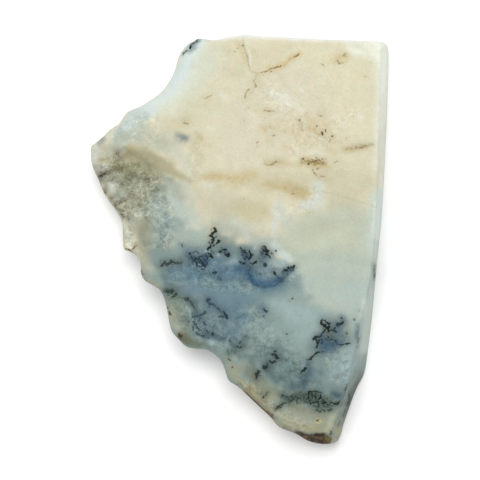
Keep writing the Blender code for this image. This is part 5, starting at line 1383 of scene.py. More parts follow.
        [(307, 161.4, 0.4)], [(311.5, 160.2, 0.4)],
    ]),
    ("dirt_right", (96, 76, 36), 0.8, 0.18, 0.6, 0.5, 0.12, [
        [(359, 148.2, 0.6)], [(360.6, 148.2, 0.8), (363, 147.2, 0.7), (365, 146.2, 0.4)],
        [(358.6, 145.6, 0.4)], [(361.4, 146, 0.4)], [(368, 145.6, 0.4)], [(355, 147.4, 0.35)],
        [(352, 146.6, 0.3)], [(351, 149.8, 0.35)], [(371.5, 145.3, 0.3)], [(366, 148, 0.3)],
    ]),
    ("dirt_faint", (144, 122, 80), 0.66, 0.13, 1.0, 0.5, 0.06, [
        [(312, 170.5, 0.6), (314, 174, 0.7), (316, 176.5, 0.5)], [(316, 169.5, 0.7), (319, 168, 0.4)],
        [(334, 163, 0.6), (337, 161.5, 0.3)], [(264, 164, 0.4), (268, 166, 0.5), (276, 162.5, 0.7)],
        [(343, 57, 0.8), (344.5, 54.5, 0.4)], [(336, 61, 0.5), (338, 64.5, 0.8), (341, 64.5, 0.5)],
        [(321, 65.5, 0.5), (323.5, 67.5, 0.3)], [(205.5, 99.8, 0.6), (208, 98.8, 0.4), (212, 96.5, 0.3)],
        [(184, 124.5, 0.6), (188.5, 124.5, 0.6)], [(264, 112, 0.5), (270, 112.3, 0.7), (274, 112, 0.4)],
        [(329, 142, 0.6)], [(341, 143, 0.6)], [(345.5, 139.5, 0.6)], [(345, 150.5, 0.8)], [(364.5, 78, 0.7)],
        [(237.5, 50, 0.6)], [(233, 53, 0.4), (236, 53.2, 0.4)], [(258, 142.5, 0.7), (256, 144, 0.4)],
        [(257, 147, 0.5)], [(292, 194, 0.6), (295, 194.5, 0.3)], [(320, 177, 0.6), (323, 177, 0.4)],
        [(256, 87.5, 0.9), (255, 85.5, 0.5)], [(253.5, 82.5, 0.9)],
        [(249, 90.5, 0.6), (246.5, 93, 0.5), (245.5, 96, 0.5), (245, 99.5, 0.8)], [(251.5, 94, 0.5)],
        [(248.5, 109, 0.6)], [(244, 122, 0.5)], [(272, 136.5, 0.6), (275, 136.5, 0.4)], [(270, 127.5, 0.7)],
        [(265, 119, 0.6)], [(317, 116, 0.4), (321, 117.5, 0.5)], [(316, 99, 0.6)], [(306, 114, 0.5)],
        [(245, 387, 0.4), (248, 388.5, 0.5), (251, 386.5, 0.4)], [(255, 386.5, 0.5), (257.5, 387, 0.4)],
        [(200, 147.5, 0.5)], [(196, 133.5, 0.5)], [(309, 213, 0.7)], [(244, 199, 0.5)],
    ]),
    ("amber_flecks", (204, 184, 138), 0.34, 0.5, 1.8, 0.6, 0.15, [
        [(262, 129, 0.6), (265, 131, 0.8)], [(270, 162.6, 0.8), (274, 164, 1), (278, 163, 0.7)],
        [(306, 119, 0.7), (311, 121, 0.8), (316, 122, 0.6)], [(322, 125, 0.6), (328, 127, 0.7)],
        [(309, 130, 0.6), (314, 132.6, 0.8)], [(334, 56.4, 0.7), (338, 58, 1), (344, 58.6, 0.6)],
        [(331, 61, 0.6), (334, 63, 0.5)], [(206, 177, 0.6), (212, 176, 0.9), (220, 176.4, 0.8)],
        [(228, 177.6, 0.7), (236, 178.6, 0.9), (244, 178, 0.6)], [(250, 172.6, 0.6), (255, 174, 0.7)],
        [(268, 142.4, 0.6), (272, 144, 0.8)], [(284, 147, 0.6), (290, 149, 0.7)],
        [(300, 143, 0.6), (305, 146, 0.7)], [(327, 151, 0.6), (332, 153, 0.6)],
        [(290, 133, 0.6), (296, 136, 0.7)], [(224, 52, 0.6), (230, 53.4, 0.7)],
        [(198, 136, 0.6), (203, 140, 0.7)], [(206, 146, 0.6), (211, 148, 0.6)], [(280, 122, 0.6)],
        [(344, 148, 0.6), (349, 149.4, 0.6)], [(290, 113, 0.5)], [(296, 195, 0.7), (301, 197, 0.5)],
        [(184, 122, 0.5), (188, 122.4, 0.5)],
    ]),
    ("pits", (84, 72, 40), 0.9, 0.12, 0.0, 0.4, 0.1, [
        [(321.5, 134, 0.8), (321.5, 135, 0.8)], [(331.2, 137.2, 0.9)], [(299, 121, 0.8)], [(316.4, 127, 0.7)],
        [(324.5, 132.5, 0.7), (325, 130.5, 0.3)], [(242.5, 47, 0.6), (243, 48, 0.4)], [(291.8, 298.3, 0.9)],
        [(286.2, 333.2, 0.8)], [(287.5, 340, 0.7)], [(280.5, 340.5, 0.6)], [(289.5, 300.5, 0.4)],
    ]),
    ("foot_pits", (80, 76, 50), 0.9, 0.12, 0.0, 0.5, 0.2, [
        [(316.6, 419.6, 0.7), (318, 418.2, 0.6)], [(321.7, 418, 0.4)],
    ]),
    ("foot_pit_ring", (196, 190, 142), 0.7, 0.2, 0.0, 0.4, 0.1, [
        [(314.8, 420.6, 0.4), (316.6, 421.6, 0.5), (319, 420.8, 0.4), (320.4, 418.4, 0.3)],
        [(316.6, 416.8, 0.3), (319, 416.4, 0.4)],
    ]),
    ("flake_crack", BROWN, 0.8, 0.12, 0.4, 0.5, 0.2, [
        [(261, 74, 0.3), (267, 72.5, 0.5), (272, 70, 0.5), (279, 68.2, 0.7), (282, 67.5, 0.4)],
        [(270, 73.5, 0.5), (271.5, 73, 0.4)], [(293, 59, 0.3), (296.5, 57.5, 0.8), (298.5, 55.5, 0.5)],
    ]),
    ("flake_crack_faint", SOFT_BROWN, 0.66, 0.16, 0.4, 0.4, 0.15, [
        [(282, 67.5, 0.4), (287, 64, 0.5), (290, 60, 0.5), (293, 59, 0.4)],
        [(243, 46, 0.4), (244.5, 51, 0.4), (247.5, 58, 0.4), (249, 64, 0.4), (249.3, 70, 0.4), (251, 73, 0.4),
         (257, 74.6, 0.4), (261, 74, 0.3)],
        [(257.5, 75, 0.3), (256, 79, 0.4), (254, 82, 0.4)],
        [(312, 141, 0.4), (316, 143, 0.6), (320, 146.5, 0.4)],
    ]),
    ("long_line", FAINT_GREEN, 0.62, 0.24, 0.0, 0.3, 0.05, [
        [(262, 179, 0.3), (284, 183, 0.6), (307, 188.7, 0.7), (328, 193.5, 0.6), (348, 199, 0.6),
         (376, 207, 0.4)],
    ]),
    ("rind_spots", (52, 38, 4), 0.94, 0.14, 1.4, 0.4, 0.3, [
        [(297, 431, 0.5), (299.5, 431.8, 0.7), (302.5, 433.4, 0.9)],
        [(305.4, 434, 0.5), (308, 434.4, 0.6), (311, 434.3, 0.8)],
        [(314, 434.6, 0.8), (318, 434.4, 0.6), (321, 435.6, 0.5)],
        [(308.5, 436.8, 0.8), (311.7, 437.8, 1.5), (314.4, 439, 0.8)],
        [(317.2, 438.4, 1.1), (318.8, 440.4, 1.4)], [(320.4, 440.5, 1.1), (323, 441, 1.1)],
        [(327, 442.6, 0.5)], [(323, 437, 0.5)], [(304.6, 436.6, 0.5)],
    ]),
    ("rind_left_spots", (78, 66, 34), 0.85, 0.2, 0.8, 0.4, 0.2, [
        [(245, 390.6, 0.5), (249, 395.6, 0.5), (253, 399.4, 0.7), (257, 403.4, 0.8), (260.6, 406.4, 0.9),
         (263, 408.6, 0.7)],
        [(266.5, 411, 0.8), (268.6, 413.4, 0.7)],
        [(271.6, 413.6, 0.8), (272.3, 416.4, 0.7), (273.6, 418.6, 0.5)],
    ]),
    # Pale rims of chips and cracks, partly painted highlight where their edges catch the lamp.
    ("white_edges", PALE, 0.7, 0.16, 0.8, 0.3, 0.1, [
        [(249.5, 52, 0.4), (250.3, 58, 0.7), (250, 66, 0.6)], [(301, 91, 0.9), (303, 93, 0.5)],
        [(278, 95.6, 0.7), (284, 98, 0.7)], [(285, 104, 0.7), (289, 107, 0.4)],
        [(357, 116, 0.5), (361, 119, 0.9)], [(222, 97, 0.4), (225, 99.5, 0.6)],
        [(311, 140, 0.4), (318, 144.5, 0.5), (322, 149, 0.5)], [(260, 73, 0.4), (265, 69, 0.4)],
        [(133, 140, 0.7), (135, 141.5, 0.4)], [(112, 138.5, 0.8), (115, 137, 0.5)],
        [(137, 134, 0.4), (133, 136, 0.5)], [(134, 121.5, 0.6), (138, 122.5, 0.6)],
    ]),
    ("pale_spots", (172, 192, 194), 0.72, 0.3, 0.6, 0.5, 0.15, [
        [(206, 251, 1.1)], [(218.5, 254.5, 1)], [(254.5, 248, 1.3)], [(212, 342.2, 1.9)], [(283, 262, 1.7)],
        [(292, 276, 1.4)],
    ]),
    ("pale_traces", (146, 168, 170), 0.6, 0.4, 0.8, 0.4, 0.15, [
        [(228.5, 335.5, 0.5), (227, 341, 0.8), (225, 346, 0.9)], [(249, 341, 0.6), (251, 338.5, 0.5)],
        [(262.5, 322, 0.6), (264.5, 319.5, 0.5)], [(199.5, 263.5, 0.8)], [(195.5, 326, 0.7)],
        [(201, 308, 0.7)], [(254, 331, 0.5), (257.5, 327, 0.5)],
        [(268, 327, 0.4), (271, 332, 0.6), (270, 336, 0.4)],
        [(279, 338, 0.4), (284, 344, 0.6), (289, 348, 0.4)], [(264, 340, 0.4), (268, 345, 0.6)],
        [(243, 326, 0.4), (247, 322, 0.6)], [(236, 334, 0.5), (239, 337, 0.4)],
        [(276, 322, 0.4), (280, 327, 0.5)], [(211, 318, 0.5), (214, 322, 0.5)],
        [(219, 326, 0.5), (222, 330, 0.4)],
    ]),
    ("pale_wisps", (150, 168, 166), 0.5, 0.5, 1.8, 0.4, 0.1, [
        [(203, 266.6, 0.6), (205.6, 268.6, 0.6)], [(214, 262, 0.5), (220, 264, 0.6), (227, 263, 0.5)],
        [(232, 283, 0.5), (238, 286, 0.7), (244, 290, 0.5)],
        [(172, 274, 0.5), (179, 275.4, 0.6), (186, 276, 0.5)],
        [(170, 281, 0.5), (178, 282.6, 0.6), (188, 283.4, 0.5)], [(201, 303, 0.5), (200.4, 308, 0.6)],
        [(194, 327, 0.7), (197, 331, 0.6)], [(206, 316, 0.5), (211, 316.6, 0.5)],
        [(208, 320, 0.5), (213, 324, 0.6)], [(216, 330, 0.5), (222, 334, 0.6)],
        [(228, 322, 0.5), (234, 324, 0.5)], [(240, 332, 0.5), (244, 328, 0.5)],
        [(196, 335, 0.5), (200, 338, 0.5)], [(256, 318, 0.4), (259, 323, 0.5)],
        [(300, 358, 0.5), (303, 363, 0.6)], [(286, 352, 0.5), (291, 356, 0.5)],
        [(330, 367, 0.5), (337, 370, 0.6)],
    ]),
    ("frost", (236, 236, 222), 0.42, 0.4, 1.6, 0.5, 0.1, [
        [(276, 98, 0.9), (280, 100, 1.1), (284, 97.6, 0.9)], [(281, 104, 0.8), (286, 103, 0.8)],
        [(222, 96, 0.8), (226, 98, 0.8)], [(300, 90.6, 1)], [(358, 117, 0.9), (361.6, 118.6, 0.8)],
        [(342, 124, 0.6), (346, 126.6, 0.7)], [(306, 133.6, 0.7), (312, 136, 0.8)],
        [(318, 139, 0.7), (326, 141, 0.7)], [(250, 115, 0.6), (254, 117, 0.6)],
        [(208, 128, 0.7), (214, 131, 0.7)], [(203, 183, 0.8), (208, 186, 0.8), (213, 184, 0.6)],
        [(197, 168, 0.7), (201, 172, 0.7)], [(218, 158, 0.6), (224, 160, 0.6)],
        [(310, 154, 0.6), (316, 152.6, 0.8), (322, 154, 0.7)], [(330, 120, 0.5), (334, 118.6, 0.6)],
        [(172, 114, 0.7), (178, 117, 0.6)],
    ]),
)


# Which marks are also cut into the stone, or stand out of it, in millimetres.
CARVED = {
    "pits": 0.1, "foot_pits": 0.2, "fissure": 0.34, "flake_crack": 0.07, "flake_crack_faint": 0.03,
    "rind_spots": 0.1, "rind_left_spots": 0.08, "hollow_crumbs": -0.08, "hollow_clefts": 0.12, "dirt": -0.03,
    "moss_tail": 0.04, "edge_crumbs": 0.06, "white_edges": -0.02,
}

# Where the stone shows fine light fibres in the hollow.
FIBRE_FIELD = [(168, 176, 6), (150, 192, 9), (132, 208, 8), (120, 214, 5)]
FIBRE_FADE = 1.5

# Fields of fine wear and growth, each with how dense it is and the width over which it fades in
# millimetres: moss is black growth, sugar pale grains and broken fibres, rust brown specks.
MOSS_FIELD = (
    (0.45, 0.8, [(160, 265, 2), (170, 263, 3), (182, 261, 2)]),
    (0.5, 0.7, [(188, 255, 2), (197, 259, 4), (206, 260, 4)]),
    (0.4, 0.7, [(218, 251, 2), (228, 253, 2.5)]),
    (0.5, 0.7, [(241, 249, 2), (247, 256, 4), (243, 262, 3)]),
    (0.45, 0.7, [(264, 248, 3), (262, 256, 4), (268, 252, 2)]),
    (0.4, 0.7, [(284, 270, 3), (292, 267, 2)]),
    (0.55, 0.8, [(167, 291, 4), (176, 294, 3)]),
    (0.45, 0.9, [(186, 298, 3), (194, 304, 3), (200, 312, 5)]),
    (0.4, 1.2, [(194, 318, 6), (198, 328, 8), (210, 334, 5)]),
    (0.4, 0.9, [(208, 301, 3), (218, 309, 4), (226, 316, 4)]),
    (0.45, 0.8, [(234, 344, 4), (245, 337, 4)]),
    (0.35, 0.7, [(259, 307, 3), (265, 311, 3)]),
    (0.4, 0.7, [(274, 352, 2), (276, 358, 2)]),
    (0.5, 0.9, [(322, 324, 4), (326, 334, 5), (324, 342, 7), (338, 340, 5)]),
    (0.4, 0.7, [(338, 322, 3), (335, 329, 3)]),
    (0.4, 0.8, [(322, 350, 3), (312, 357, 2), (306, 364, 2)]),
    (0.3, 1.0, [(284, 397, 2), (298, 396, 3), (314, 396, 6), (326, 401, 4), (338, 399, 2)]),
    (0.4, 0.7, [(318, 405, 4)]),
    (0.8, 0.6, [(99, 178, 2), (104, 175, 3)]),
    (0.4, 0.7, [(118, 199, 3), (124, 210, 3)]),
    (0.5, 0.6, [(180, 335, 3), (190, 339, 3)]),
)
SUGAR_FIELD = (
    (0.24, 3.0, [(270, 96, 14), (292, 110, 12), (300, 150, 12)]),
    (0.2, 1.5, [(198, 140, 4), (196, 158, 5), (192, 172, 4)]),
    (0.28, 1.5, [(114, 137, 5), (132, 124, 8), (152, 120, 7)]),
    (0.2, 2.0, [(120, 140, 5), (160, 138, 8)]),
    (1.0, 1.6, [(110, 168, 10), (130, 178, 16), (150, 184, 12), (130, 206, 14), (150, 208, 10)]),
    (0.8, 1.6, [(158, 196, 7), (164, 214, 9), (164, 240, 9)]),
    (0.7, 1.2, [(128, 232, 6), (132, 250, 4)]),
    (0.24, 1.5, [(316, 190, 6), (304, 206, 5), (278, 214, 6)]),
    (0.06, 6.0, [(240, 80, 30), (300, 100, 40), (330, 150, 40)]),
    (0.24, 1.5, [(336, 128, 8), (350, 116, 8)]),
    (0.55, 2.5, [(176, 300, 10), (196, 320, 14), (218, 330, 12), (236, 350, 8)]),
    (0.6, 2.0, [(176, 270, 10), (210, 276, 14), (250, 282, 12), (290, 274, 8)]),
    (0.55, 3.0, [(250, 320, 16), (270, 350, 16), (300, 376, 16)]),
    (0.58, 1.5, [(290, 398, 6), (318, 400, 8), (336, 400, 4)]),
    (0.5, 1.5, [(244, 380, 6), (262, 398, 6), (300, 424, 6)]),
    (0.5, 2.0, [(330, 340, 12), (340, 370, 12)]),
)
RUST_FIELD = (
    (0.95, 0.9, [(303, 161, 2.5), (314, 163, 4.5), (324, 164, 3)]),
    (0.6, 1.0, [(314, 172, 4), (322, 176, 3)]),
    (0.8, 0.8, [(346, 150, 2), (360, 148, 3), (371, 145, 2)]),
    (0.4, 1.2, [(258, 112, 3), (280, 113, 4)]),
    (0.45, 1.4, [(264, 130, 4), (284, 131, 5)]),
    (0.6, 1.6, [(298, 126, 5), (318, 135, 7), (334, 143, 5)]),
    (0.6, 1.2, [(332, 63, 4), (346, 59, 5)]),
    (0.5, 1.6, [(200, 178, 5), (236, 179, 7), (254, 179, 4)]),
    (0.6, 1.0, [(286, 190, 5), (304, 191, 4)]),
    (0.45, 1.2, [(256, 78, 4), (250, 92, 4), (244, 101, 2)]),
    (0.55, 1.0, [(238, 46, 3), (246, 60, 3)]),
    (0.6, 0.8, [(262, 73, 2), (284, 66, 3), (299, 55, 2)]),
    (0.6, 1.2, [(104, 158, 5), (120, 156, 6), (124, 172, 8)]),
    (0.4, 1.0, [(264, 164, 3), (284, 163, 3)]),
    (0.5, 0.8, [(204, 99, 2), (211, 97, 2)]),
    (0.4, 1.0, [(198, 134, 3), (203, 146, 3)]),
    (0.95, 0.4, [(298, 433, 2.4), (312, 438.4, 5.4), (326, 440, 4.4)]),
    (0.7, 0.5, [(245, 391, 2), (260, 407, 2), (273, 418, 2)]),
    (0.5, 1.0, [(108, 190, 4), (122, 210, 5)]),
    (0.3, 1.5, [(362, 80, 5), (330, 96, 6)]),
    (0.5, 1.2, [(244, 382, 5), (258, 392, 5)]),
    (0.35, 1.4, [(226, 74, 5), (238, 76, 4)]),
    (0.3, 2.0, [(250, 205, 8), (266, 212, 5)]),
    (0.35, 1.2, [(320, 116, 4), (342, 126, 4)]),
)

# The saw marks are arcs round this centre, in metres, a pitch apart in millimetres. The texture's rings
# lie RING_SCALE apart when its own scale is 1.
SAW_CENTRE = (-0.0098, -0.0285, 0.0)
SAW_PITCH = 0.34
RING_SCALE = 0.314
SAW_FIELD = ((1.0, 2.0, [(162, 270, 7), (192, 284, 14), (222, 292, 14)]),)

Stain = namedtuple("Stain", "name colour strength fade wander length discs")
Ink = namedtuple("Ink", "name colour strength soft twig reach haze stems")

# How dendrites grow from their stems. Lengths are in millimetres, angles in radians, and reaches and
# sizes are shares of the stem's radius.
STEM_STEP = 0.1
STEM_WIDTH = 1.14
STEM_UNEVEN = (0.55, 1.3)
STEM_SCATTER = 0.3
KNOT_CORE = 0.85
KNOT_LOBES = 4
LOBE_REACH = (0.5, 1.0)
LOBE_SIZE = (0.3, 0.6)
TWIG_SPACING = 0.36
TWIG_TURN = (0.6, 1.6)
TWIG_LENGTH = (0.2, 1.0)
TWIG_BEND = 0.35
TWIG_START = 0.6
TWIG_TAPER = 0.3
TWIG_UNEVEN = (0.7, 1.3)
TWIG_LEAST = 0.045
BUD_CHANCE = 0.5
BUD_SIZE = 0.75
BUD_LEAST = 0.06
FACE_SEED = 11

# The dendrites run through the stone: on the back they come out turned and shifted.
BACK_SHIFT = (2.4, -3.2)
BACK_TURN = (1.5, 4.8)
BACK_SCATTER = 1.6
BACK_ORDER_SEED = 5
BACK_SEED = 400
BACK_STAIN_SHIFT = (1.5, -1.0, 0.0)
BACK_STAIN_SEED = 300

# Knots scattered on the walls: dark and branched low on the stone, small and brown on its cream part.
WALL_CLUSTERS = 46
WALL_ORDER_SEED = 9
WALL_SEED = 700
WALL_HEIGHTS = (0.8, 7.0)
WALL_DARK_BELOW = -2.0
WALL_SCATTER = 0.5
WALL_KNOT_SIZE = (0.07, 0.2)
WALL_KNOT_GAP = (0.3, 0.6)
WALL_KNOT_BEND = 0.6
WALL_INK = {"strength": 0.85, "soft": 0.25, "twig": 2.0, "reach": 0.7, "haze": 0.3}

# What the lamps add to every colour as a faint sheen, on stone and on ink, and how far paint may go.
SHEEN = 0.012
INK_SHEEN = 0.005
DARKEST = 0.002
LIGHTEST = 0.95

# Noise that lets the edges of stains wander, and how far from the discs it can matter.
WANDER_OCTAVES = 5
WANDER_GAIN = 0.62
WANDER_MOST = 1.7
HAZE_END = 2.2

# Fine height of the face in millimetres: height, length, octaves and seed of its noise.
GRAIN_RELIEF = (0.008, 0.8, 4, 61)
COARSE_GRIT = (0.1, 1.5, 4, 62)
FINE_GRIT = (0.05, 0.5, 3, 63)
FIBRE_RELIEF = (0.04, 0.7, 2, 64)
FIBRE_STRETCH = (0.35, 1.8, 1.0)
GRIT_DEPTH = 0.5
CARVED_REACH = 0.3
CARVED_EDGE = 0.1
CARVED_SLOPE = 0.25
BROKEN_DEPTH = 0.05


def lobed_knot(chance, x, y, radius):
    """Discs of a single knot: a core with lobes round it."""
    discs = [[x, y, KNOT_CORE * radius]]
    for angle in chance.uniform(0.0, 2.0 * math.pi, KNOT_LOBES):
        reach = chance.uniform(*LOBE_REACH) * radius
        size = chance.uniform(*LOBE_SIZE) * radius
        discs.append([x + reach * math.cos(angle), y + reach * math.sin(angle), size])
    return discs


def twig_discs(chance, samples, radii, length):
    """Discs of one winding twig that leaves a stem somewhere, often with a bud at its end."""
    k = chance.integers(len(samples))
    run = samples[min(k + 1, len(samples) - 1)] - samples[max(k - 1, 0)]
    heading = math.atan2(run[1], run[0]) + chance.choice((-1, 1)) * chance.uniform(*TWIG_TURN)
    steps = max(1, round(chance.uniform(*TWIG_LENGTH) * length * CELL / STEM_STEP))
    x, y = samples[k]
    discs = []
    for step in range(steps):
        heading += chance.normal(0.0, TWIG_BEND)
        x += STEM_STEP * math.cos(heading)
        y += STEM_STEP * math.sin(heading)
        thinning = TWIG_START - TWIG_TAPER * step / steps
        discs.append([x, y, max(TWIG_LEAST, radii[k] * thinning * chance.uniform(*TWIG_UNEVEN))])
    if chance.random() < BUD_CHANCE:
        discs.append([x, y, max(BUD_LEAST, BUD_SIZE * radii[k])])
    return discs


def grown(stems, twig, seed):
    """Discs in millimetres of knotted stems with short twigs of about this length on the grid."""
    chance = np.random.default_rng(seed)
    discs = []
    for placed in stems:
        if len(placed) == 1:
            discs += lobed_knot(chance, *placed[0])
            continue
        samples, rows = evenly_along(smooth_line(placed[:, :2]), STEM_STEP)
        radii = np.interp(rows / SPAN_SAMPLES, np.arange(len(placed)), placed[:, 2])
        radii = STEM_WIDTH * radii * chance.uniform(*STEM_UNEVEN, len(samples))
        moved = samples + chance.normal(0.0, STEM_SCATTER, samples.shape) * radii[:, None]
        discs += np.concatenate([moved, radii[:, None]], axis=1).tolist()
        if twig:
            for _ in range(chance.poisson(len(samples) * STEM_STEP / TWIG_SPACING)):
                discs += twig_discs(chance, samples, radii, twig)
    return np.array(discs)


def placed_inks():
    """Every ink with its stems in millimetres."""
    return [Ink(*row[:-1], [on_grid(stem) for stem in row[-1]]) for row in INKS]


def face_clusters():
    """Every ink of the face with its grown discs in the place of its stems."""
    inks = enumerate(placed_inks(), FACE_SEED)
    return [ink._replace(stems=grown(ink.stems, ink.twig, seed)) for seed, ink in inks]


def back_clusters():
    """Inks seen on the back: the dendrites run through the stone and come out elsewhere."""
    clusters = []
    chance = np.random.default_rng(BACK_ORDER_SEED)
    for k, ink in enumerate(placed_inks()):
        if ink.name in CARVED or ink.colour == PALE:
            continue
        centre = np.concatenate(ink.stems)[:, :2].mean(axis=0)
        angle = chance.uniform(*BACK_TURN)
        turn = np.array([[math.cos(angle), math.sin(angle)], [-math.sin(angle), math.cos(angle)]])
        shift = centre + BACK_SHIFT + chance.normal(0.0, BACK_SCATTER, 2)
        turned = [np.concatenate([(s[:, :2] - centre) @ turn + shift, s[:, 2:]], axis=1) for s in ink.stems]
        clusters.append(ink._replace(stems=grown(turned, ink.twig, BACK_SEED + k)))
    return clusters


def wall_clusters(loop):
    """Short knots on the walls, placed by distance round the loop and height."""
    clusters = []
    chance = np.random.default_rng(WALL_ORDER_SEED)
    around = RIM_STEP * len(loop)
    for k in range(WALL_CLUSTERS):
        along = chance.uniform(0.0, around)
        height = chance.uniform(*WALL_HEIGHTS)
        dark = loop[int(along / RIM_STEP) % len(loop), 1] < WALL_DARK_BELOW
        stems = []
        for _ in range(chance.integers(1, 4) if dark else 1):
            knots = chance.integers(2, 5) if dark else 1
            heading = chance.uniform(0.0, 2.0 * math.pi)
            place = np.array([along, height]) + chance.normal(0.0, WALL_SCATTER, 2)
            stem = []
            for _ in range(knots):
                stem.append([place[0], place[1], chance.uniform(*WALL_KNOT_SIZE)])
                heading += chance.normal(0.0, WALL_KNOT_BEND)
                ahead = np.array([math.cos(heading), math.sin(heading)])
                place = place + chance.uniform(*WALL_KNOT_GAP) * ahead
            stems.append(np.array(stem))
        discs = grown(stems, WALL_INK["twig"], WALL_SEED + k)
        clusters.append(Ink("wall_knot", GREEN_BLACK if dark else BROWN, stems=discs, **WALL_INK))
    return clusters


def rows_near(plan, discs, margin):
    """Rows of the points within the margin of the box round the discs."""
    low = (discs[:, :2] - discs[:, 2:]).min(axis=0) - margin
    high = (discs[:, :2] + discs[:, 2:]).max(axis=0) + margin
    return np.flatnonzero(np.all((plan > low) & (plan < high), axis=1))


def deepest(plan, discs, margin):
    """Rows of the points within the margin of the discs, and how deep each lies inside the nearest one."""
    rows = rows_near(plan, discs, margin)
    rows = rows[np.argsort(plan[rows, 0], kind="stable")]
    x_near, y_near = plan[rows, 0], plan[rows, 1]
    depth = np.full(len(rows), -margin)
    for x, y, radius in discs:
        first, last = np.searchsorted(x_near, (x - radius - margin, x + radius + margin))
        gap = radius - np.sqrt((x_near[first:last] - x) ** 2 + (y_near[first:last] - y) ** 2)
        np.maximum(depth[first:last], gap, out=depth[first:last])
    return rows, depth


def shown(colour, sheen=SHEEN):
    """The colour that the surface needs to look like this under the lamps."""
    return np.clip((linear(colour) - sheen) / LIGHT_LEVEL, DARKEST, LIGHTEST)


def faded_in(path, plan, fade):
    """1 inside a chain of discs and 0 outside it, fading over this width across its edge."""
    return smooth_step(chain_depth(path, plan) / fade + 0.5)


def paint(points, seed=0):
    """The colour of the stone at each place, without its ink."""
    colour = np.tile(shown(BODY_COLOUR), (len(points), 1))
    for k, stain in enumerate(map(Stain._make, STAINS)):
        margin = 0.5 * stain.fade + WANDER_MOST * stain.wander
        rows = rows_near(points[:, :2], on_grid(stain.discs), margin)
        near = points[rows]
        drift = [
            mottle(near, stain.length, WANDER_OCTAVES, seed + 2 * k + axis, gain=WANDER_GAIN) for axis in (0, 1)
        ]
        moved = near[:, :2] + stain.wander * np.stack(drift, axis=1)
        share = stain.strength * faded_in(stain.discs, moved, stain.fade)
        colour[rows] += share[:, None] * (shown(stain.colour) - colour[rows])
    return colour


def add_ink(plan, clusters, colour):
    """Darkens the colour with the haze of the ink, and gives the ink's edge, strength and tint."""
    edge = np.full(len(plan), -1.0)
    strength = np.zeros(len(plan))
    tint = np.tile(shown(BLACK), (len(plan), 1))
    weight = np.zeros(len(plan))
    for ink in clusters:
        rows, depth = deepest(plan, ink.stems, HAZE_END * ink.reach)
        share = ink.haze * np.exp(-(np.clip(-depth, 0.0, None) / ink.reach) ** 2)
        share = np.clip(share - ink.haze * math.exp(-(HAZE_END**2)), 0.0, None)
        haze = shown(HAZES.get(ink.colour, ink.colour))
        colour[rows] += share[:, None] * (haze - colour[rows])
        steep = np.clip(depth / ink.soft, -1.0, 1.0)
        mask = ink.strength * smooth_step(0.5 + 0.5 * steep)
        wins = (mask > weight[rows]) | ((weight[rows] == 0.0) & (steep > edge[rows]))
        kept = rows[wins]
        weight[kept] = mask[wins]
        edge[kept] = steep[wins]
        strength[kept] = ink.strength
        tint[kept] = shown(ink.colour, INK_SHEEN)
    return edge, strength, tint


def field(plan, parts):
    """How dense wear of one kind is at each place, from 0 to 1."""
    dense = np.zeros(len(plan))
    for amount, fade, path in parts:
        dense = np.maximum(dense, amount * faded_in(path, plan, fade))
    return dense


def carved_height(plan, clusters):
    """How far the pits, cracks and crumbs lie below the face."""
    fall = np.zeros(len(plan))
    for ink in clusters:
        if ink.name in CARVED:
            rows, depth = deepest(plan, ink.stems, CARVED_REACH)
            fall[rows] += CARVED[ink.name] * smooth_step((depth + CARVED_EDGE) / CARVED_SLOPE)
    return fall


def relief(plan, clusters):
    """Fine height of the face: grain, broken grit in the hollow, fibres, and carved marks."""
    flat = np.concatenate([plan, np.zeros((len(plan), 1))], axis=1)
    kinds = (GRAIN_RELIEF, COARSE_GRIT, FINE_GRIT)
    grain, coarse, fine = (height * mottle(flat, *kind) for height, *kind in kinds)
    grit = smooth_step(hollow_fall(plan) / GRIT_DEPTH)
    fibre_height, *fibre_noise = FIBRE_RELIEF
    fibres = fibre_height * faded_in(FIBRE_FIELD, plan, FIBRE_FADE)
    ridges = np.abs(mottle(flat, *fibre_noise, FIBRE_STRETCH))
    return grain + grit * (coarse + fine) + fibres * ridges - carved_height(plan, clusters)


def broken_face(stretches):
    """A test of which points lie on broken, worn or sloping parts of the face."""
    def test(plan):
        found = hollow_fall(plan) > BROKEN_DEPTH
        for side, stretch in zip(SIDES, stretches):
            found |= side_fall(side, stretch, plan) > 0.0
        return found
    return test


def slab_mesh(clusters):
    """The stone's vertices in millimetres and triangles, where its face and walls end, and its loop."""
    curve, owner, stretches = outline_curve()
    loop, rows = evenly_along(curve, RIM_STEP, closed=True)
    owner = owner[rows.astype(int) % len(owner)]
    count = len(loop)

    creases, edges = crease_points(loop)
    ink = np.concatenate([cluster.stems for cluster in clusters])
    inner = np.concatenate([creases, graded_points(loop, creases, broken_face(stretches), ink)])
    plan = np.concatenate([loop, inner])
    height = face_height(plan, stretches) + relief(plan, clusters)
    vertices = [np.concatenate([plan, height[:, None]], axis=1)]
    faces = [triangulate(loop, inner, edges)]

    above = np.arange(count)
    first = len(plan)
    for ring in wall_rings(loop, owner, height[:count]):
        vertices.append(ring)
        below = first + np.arange(count)
        faces.append(np.stack([above, np.roll(above, -1), np.roll(below, -1)], axis=1))
        faces.append(np.stack([above, np.roll(below, -1), below], axis=1))
        above = below
        first += count
    back_loop = ring[:, :2]
    grid = hex_grid(back_loop.min(axis=0), back_loop.max(axis=0), BACK_STEP)
    grid = grid[inside(back_loop, grid)]
    grid = grid[rim_distance(back_loop, grid) > RIM_CLEARANCE * RIM_STEP]
    vertices.append(np.concatenate([grid, np.zeros((len(grid), 1))], axis=1))
    back = triangulate(back_loop, grid, [])
    numbers = np.concatenate([above, first + np.arange(len(grid))])
    faces.append(numbers[back][:, ::-1])
    return np.concatenate(vertices), np.concatenate(faces), len(plan), first - count, loop


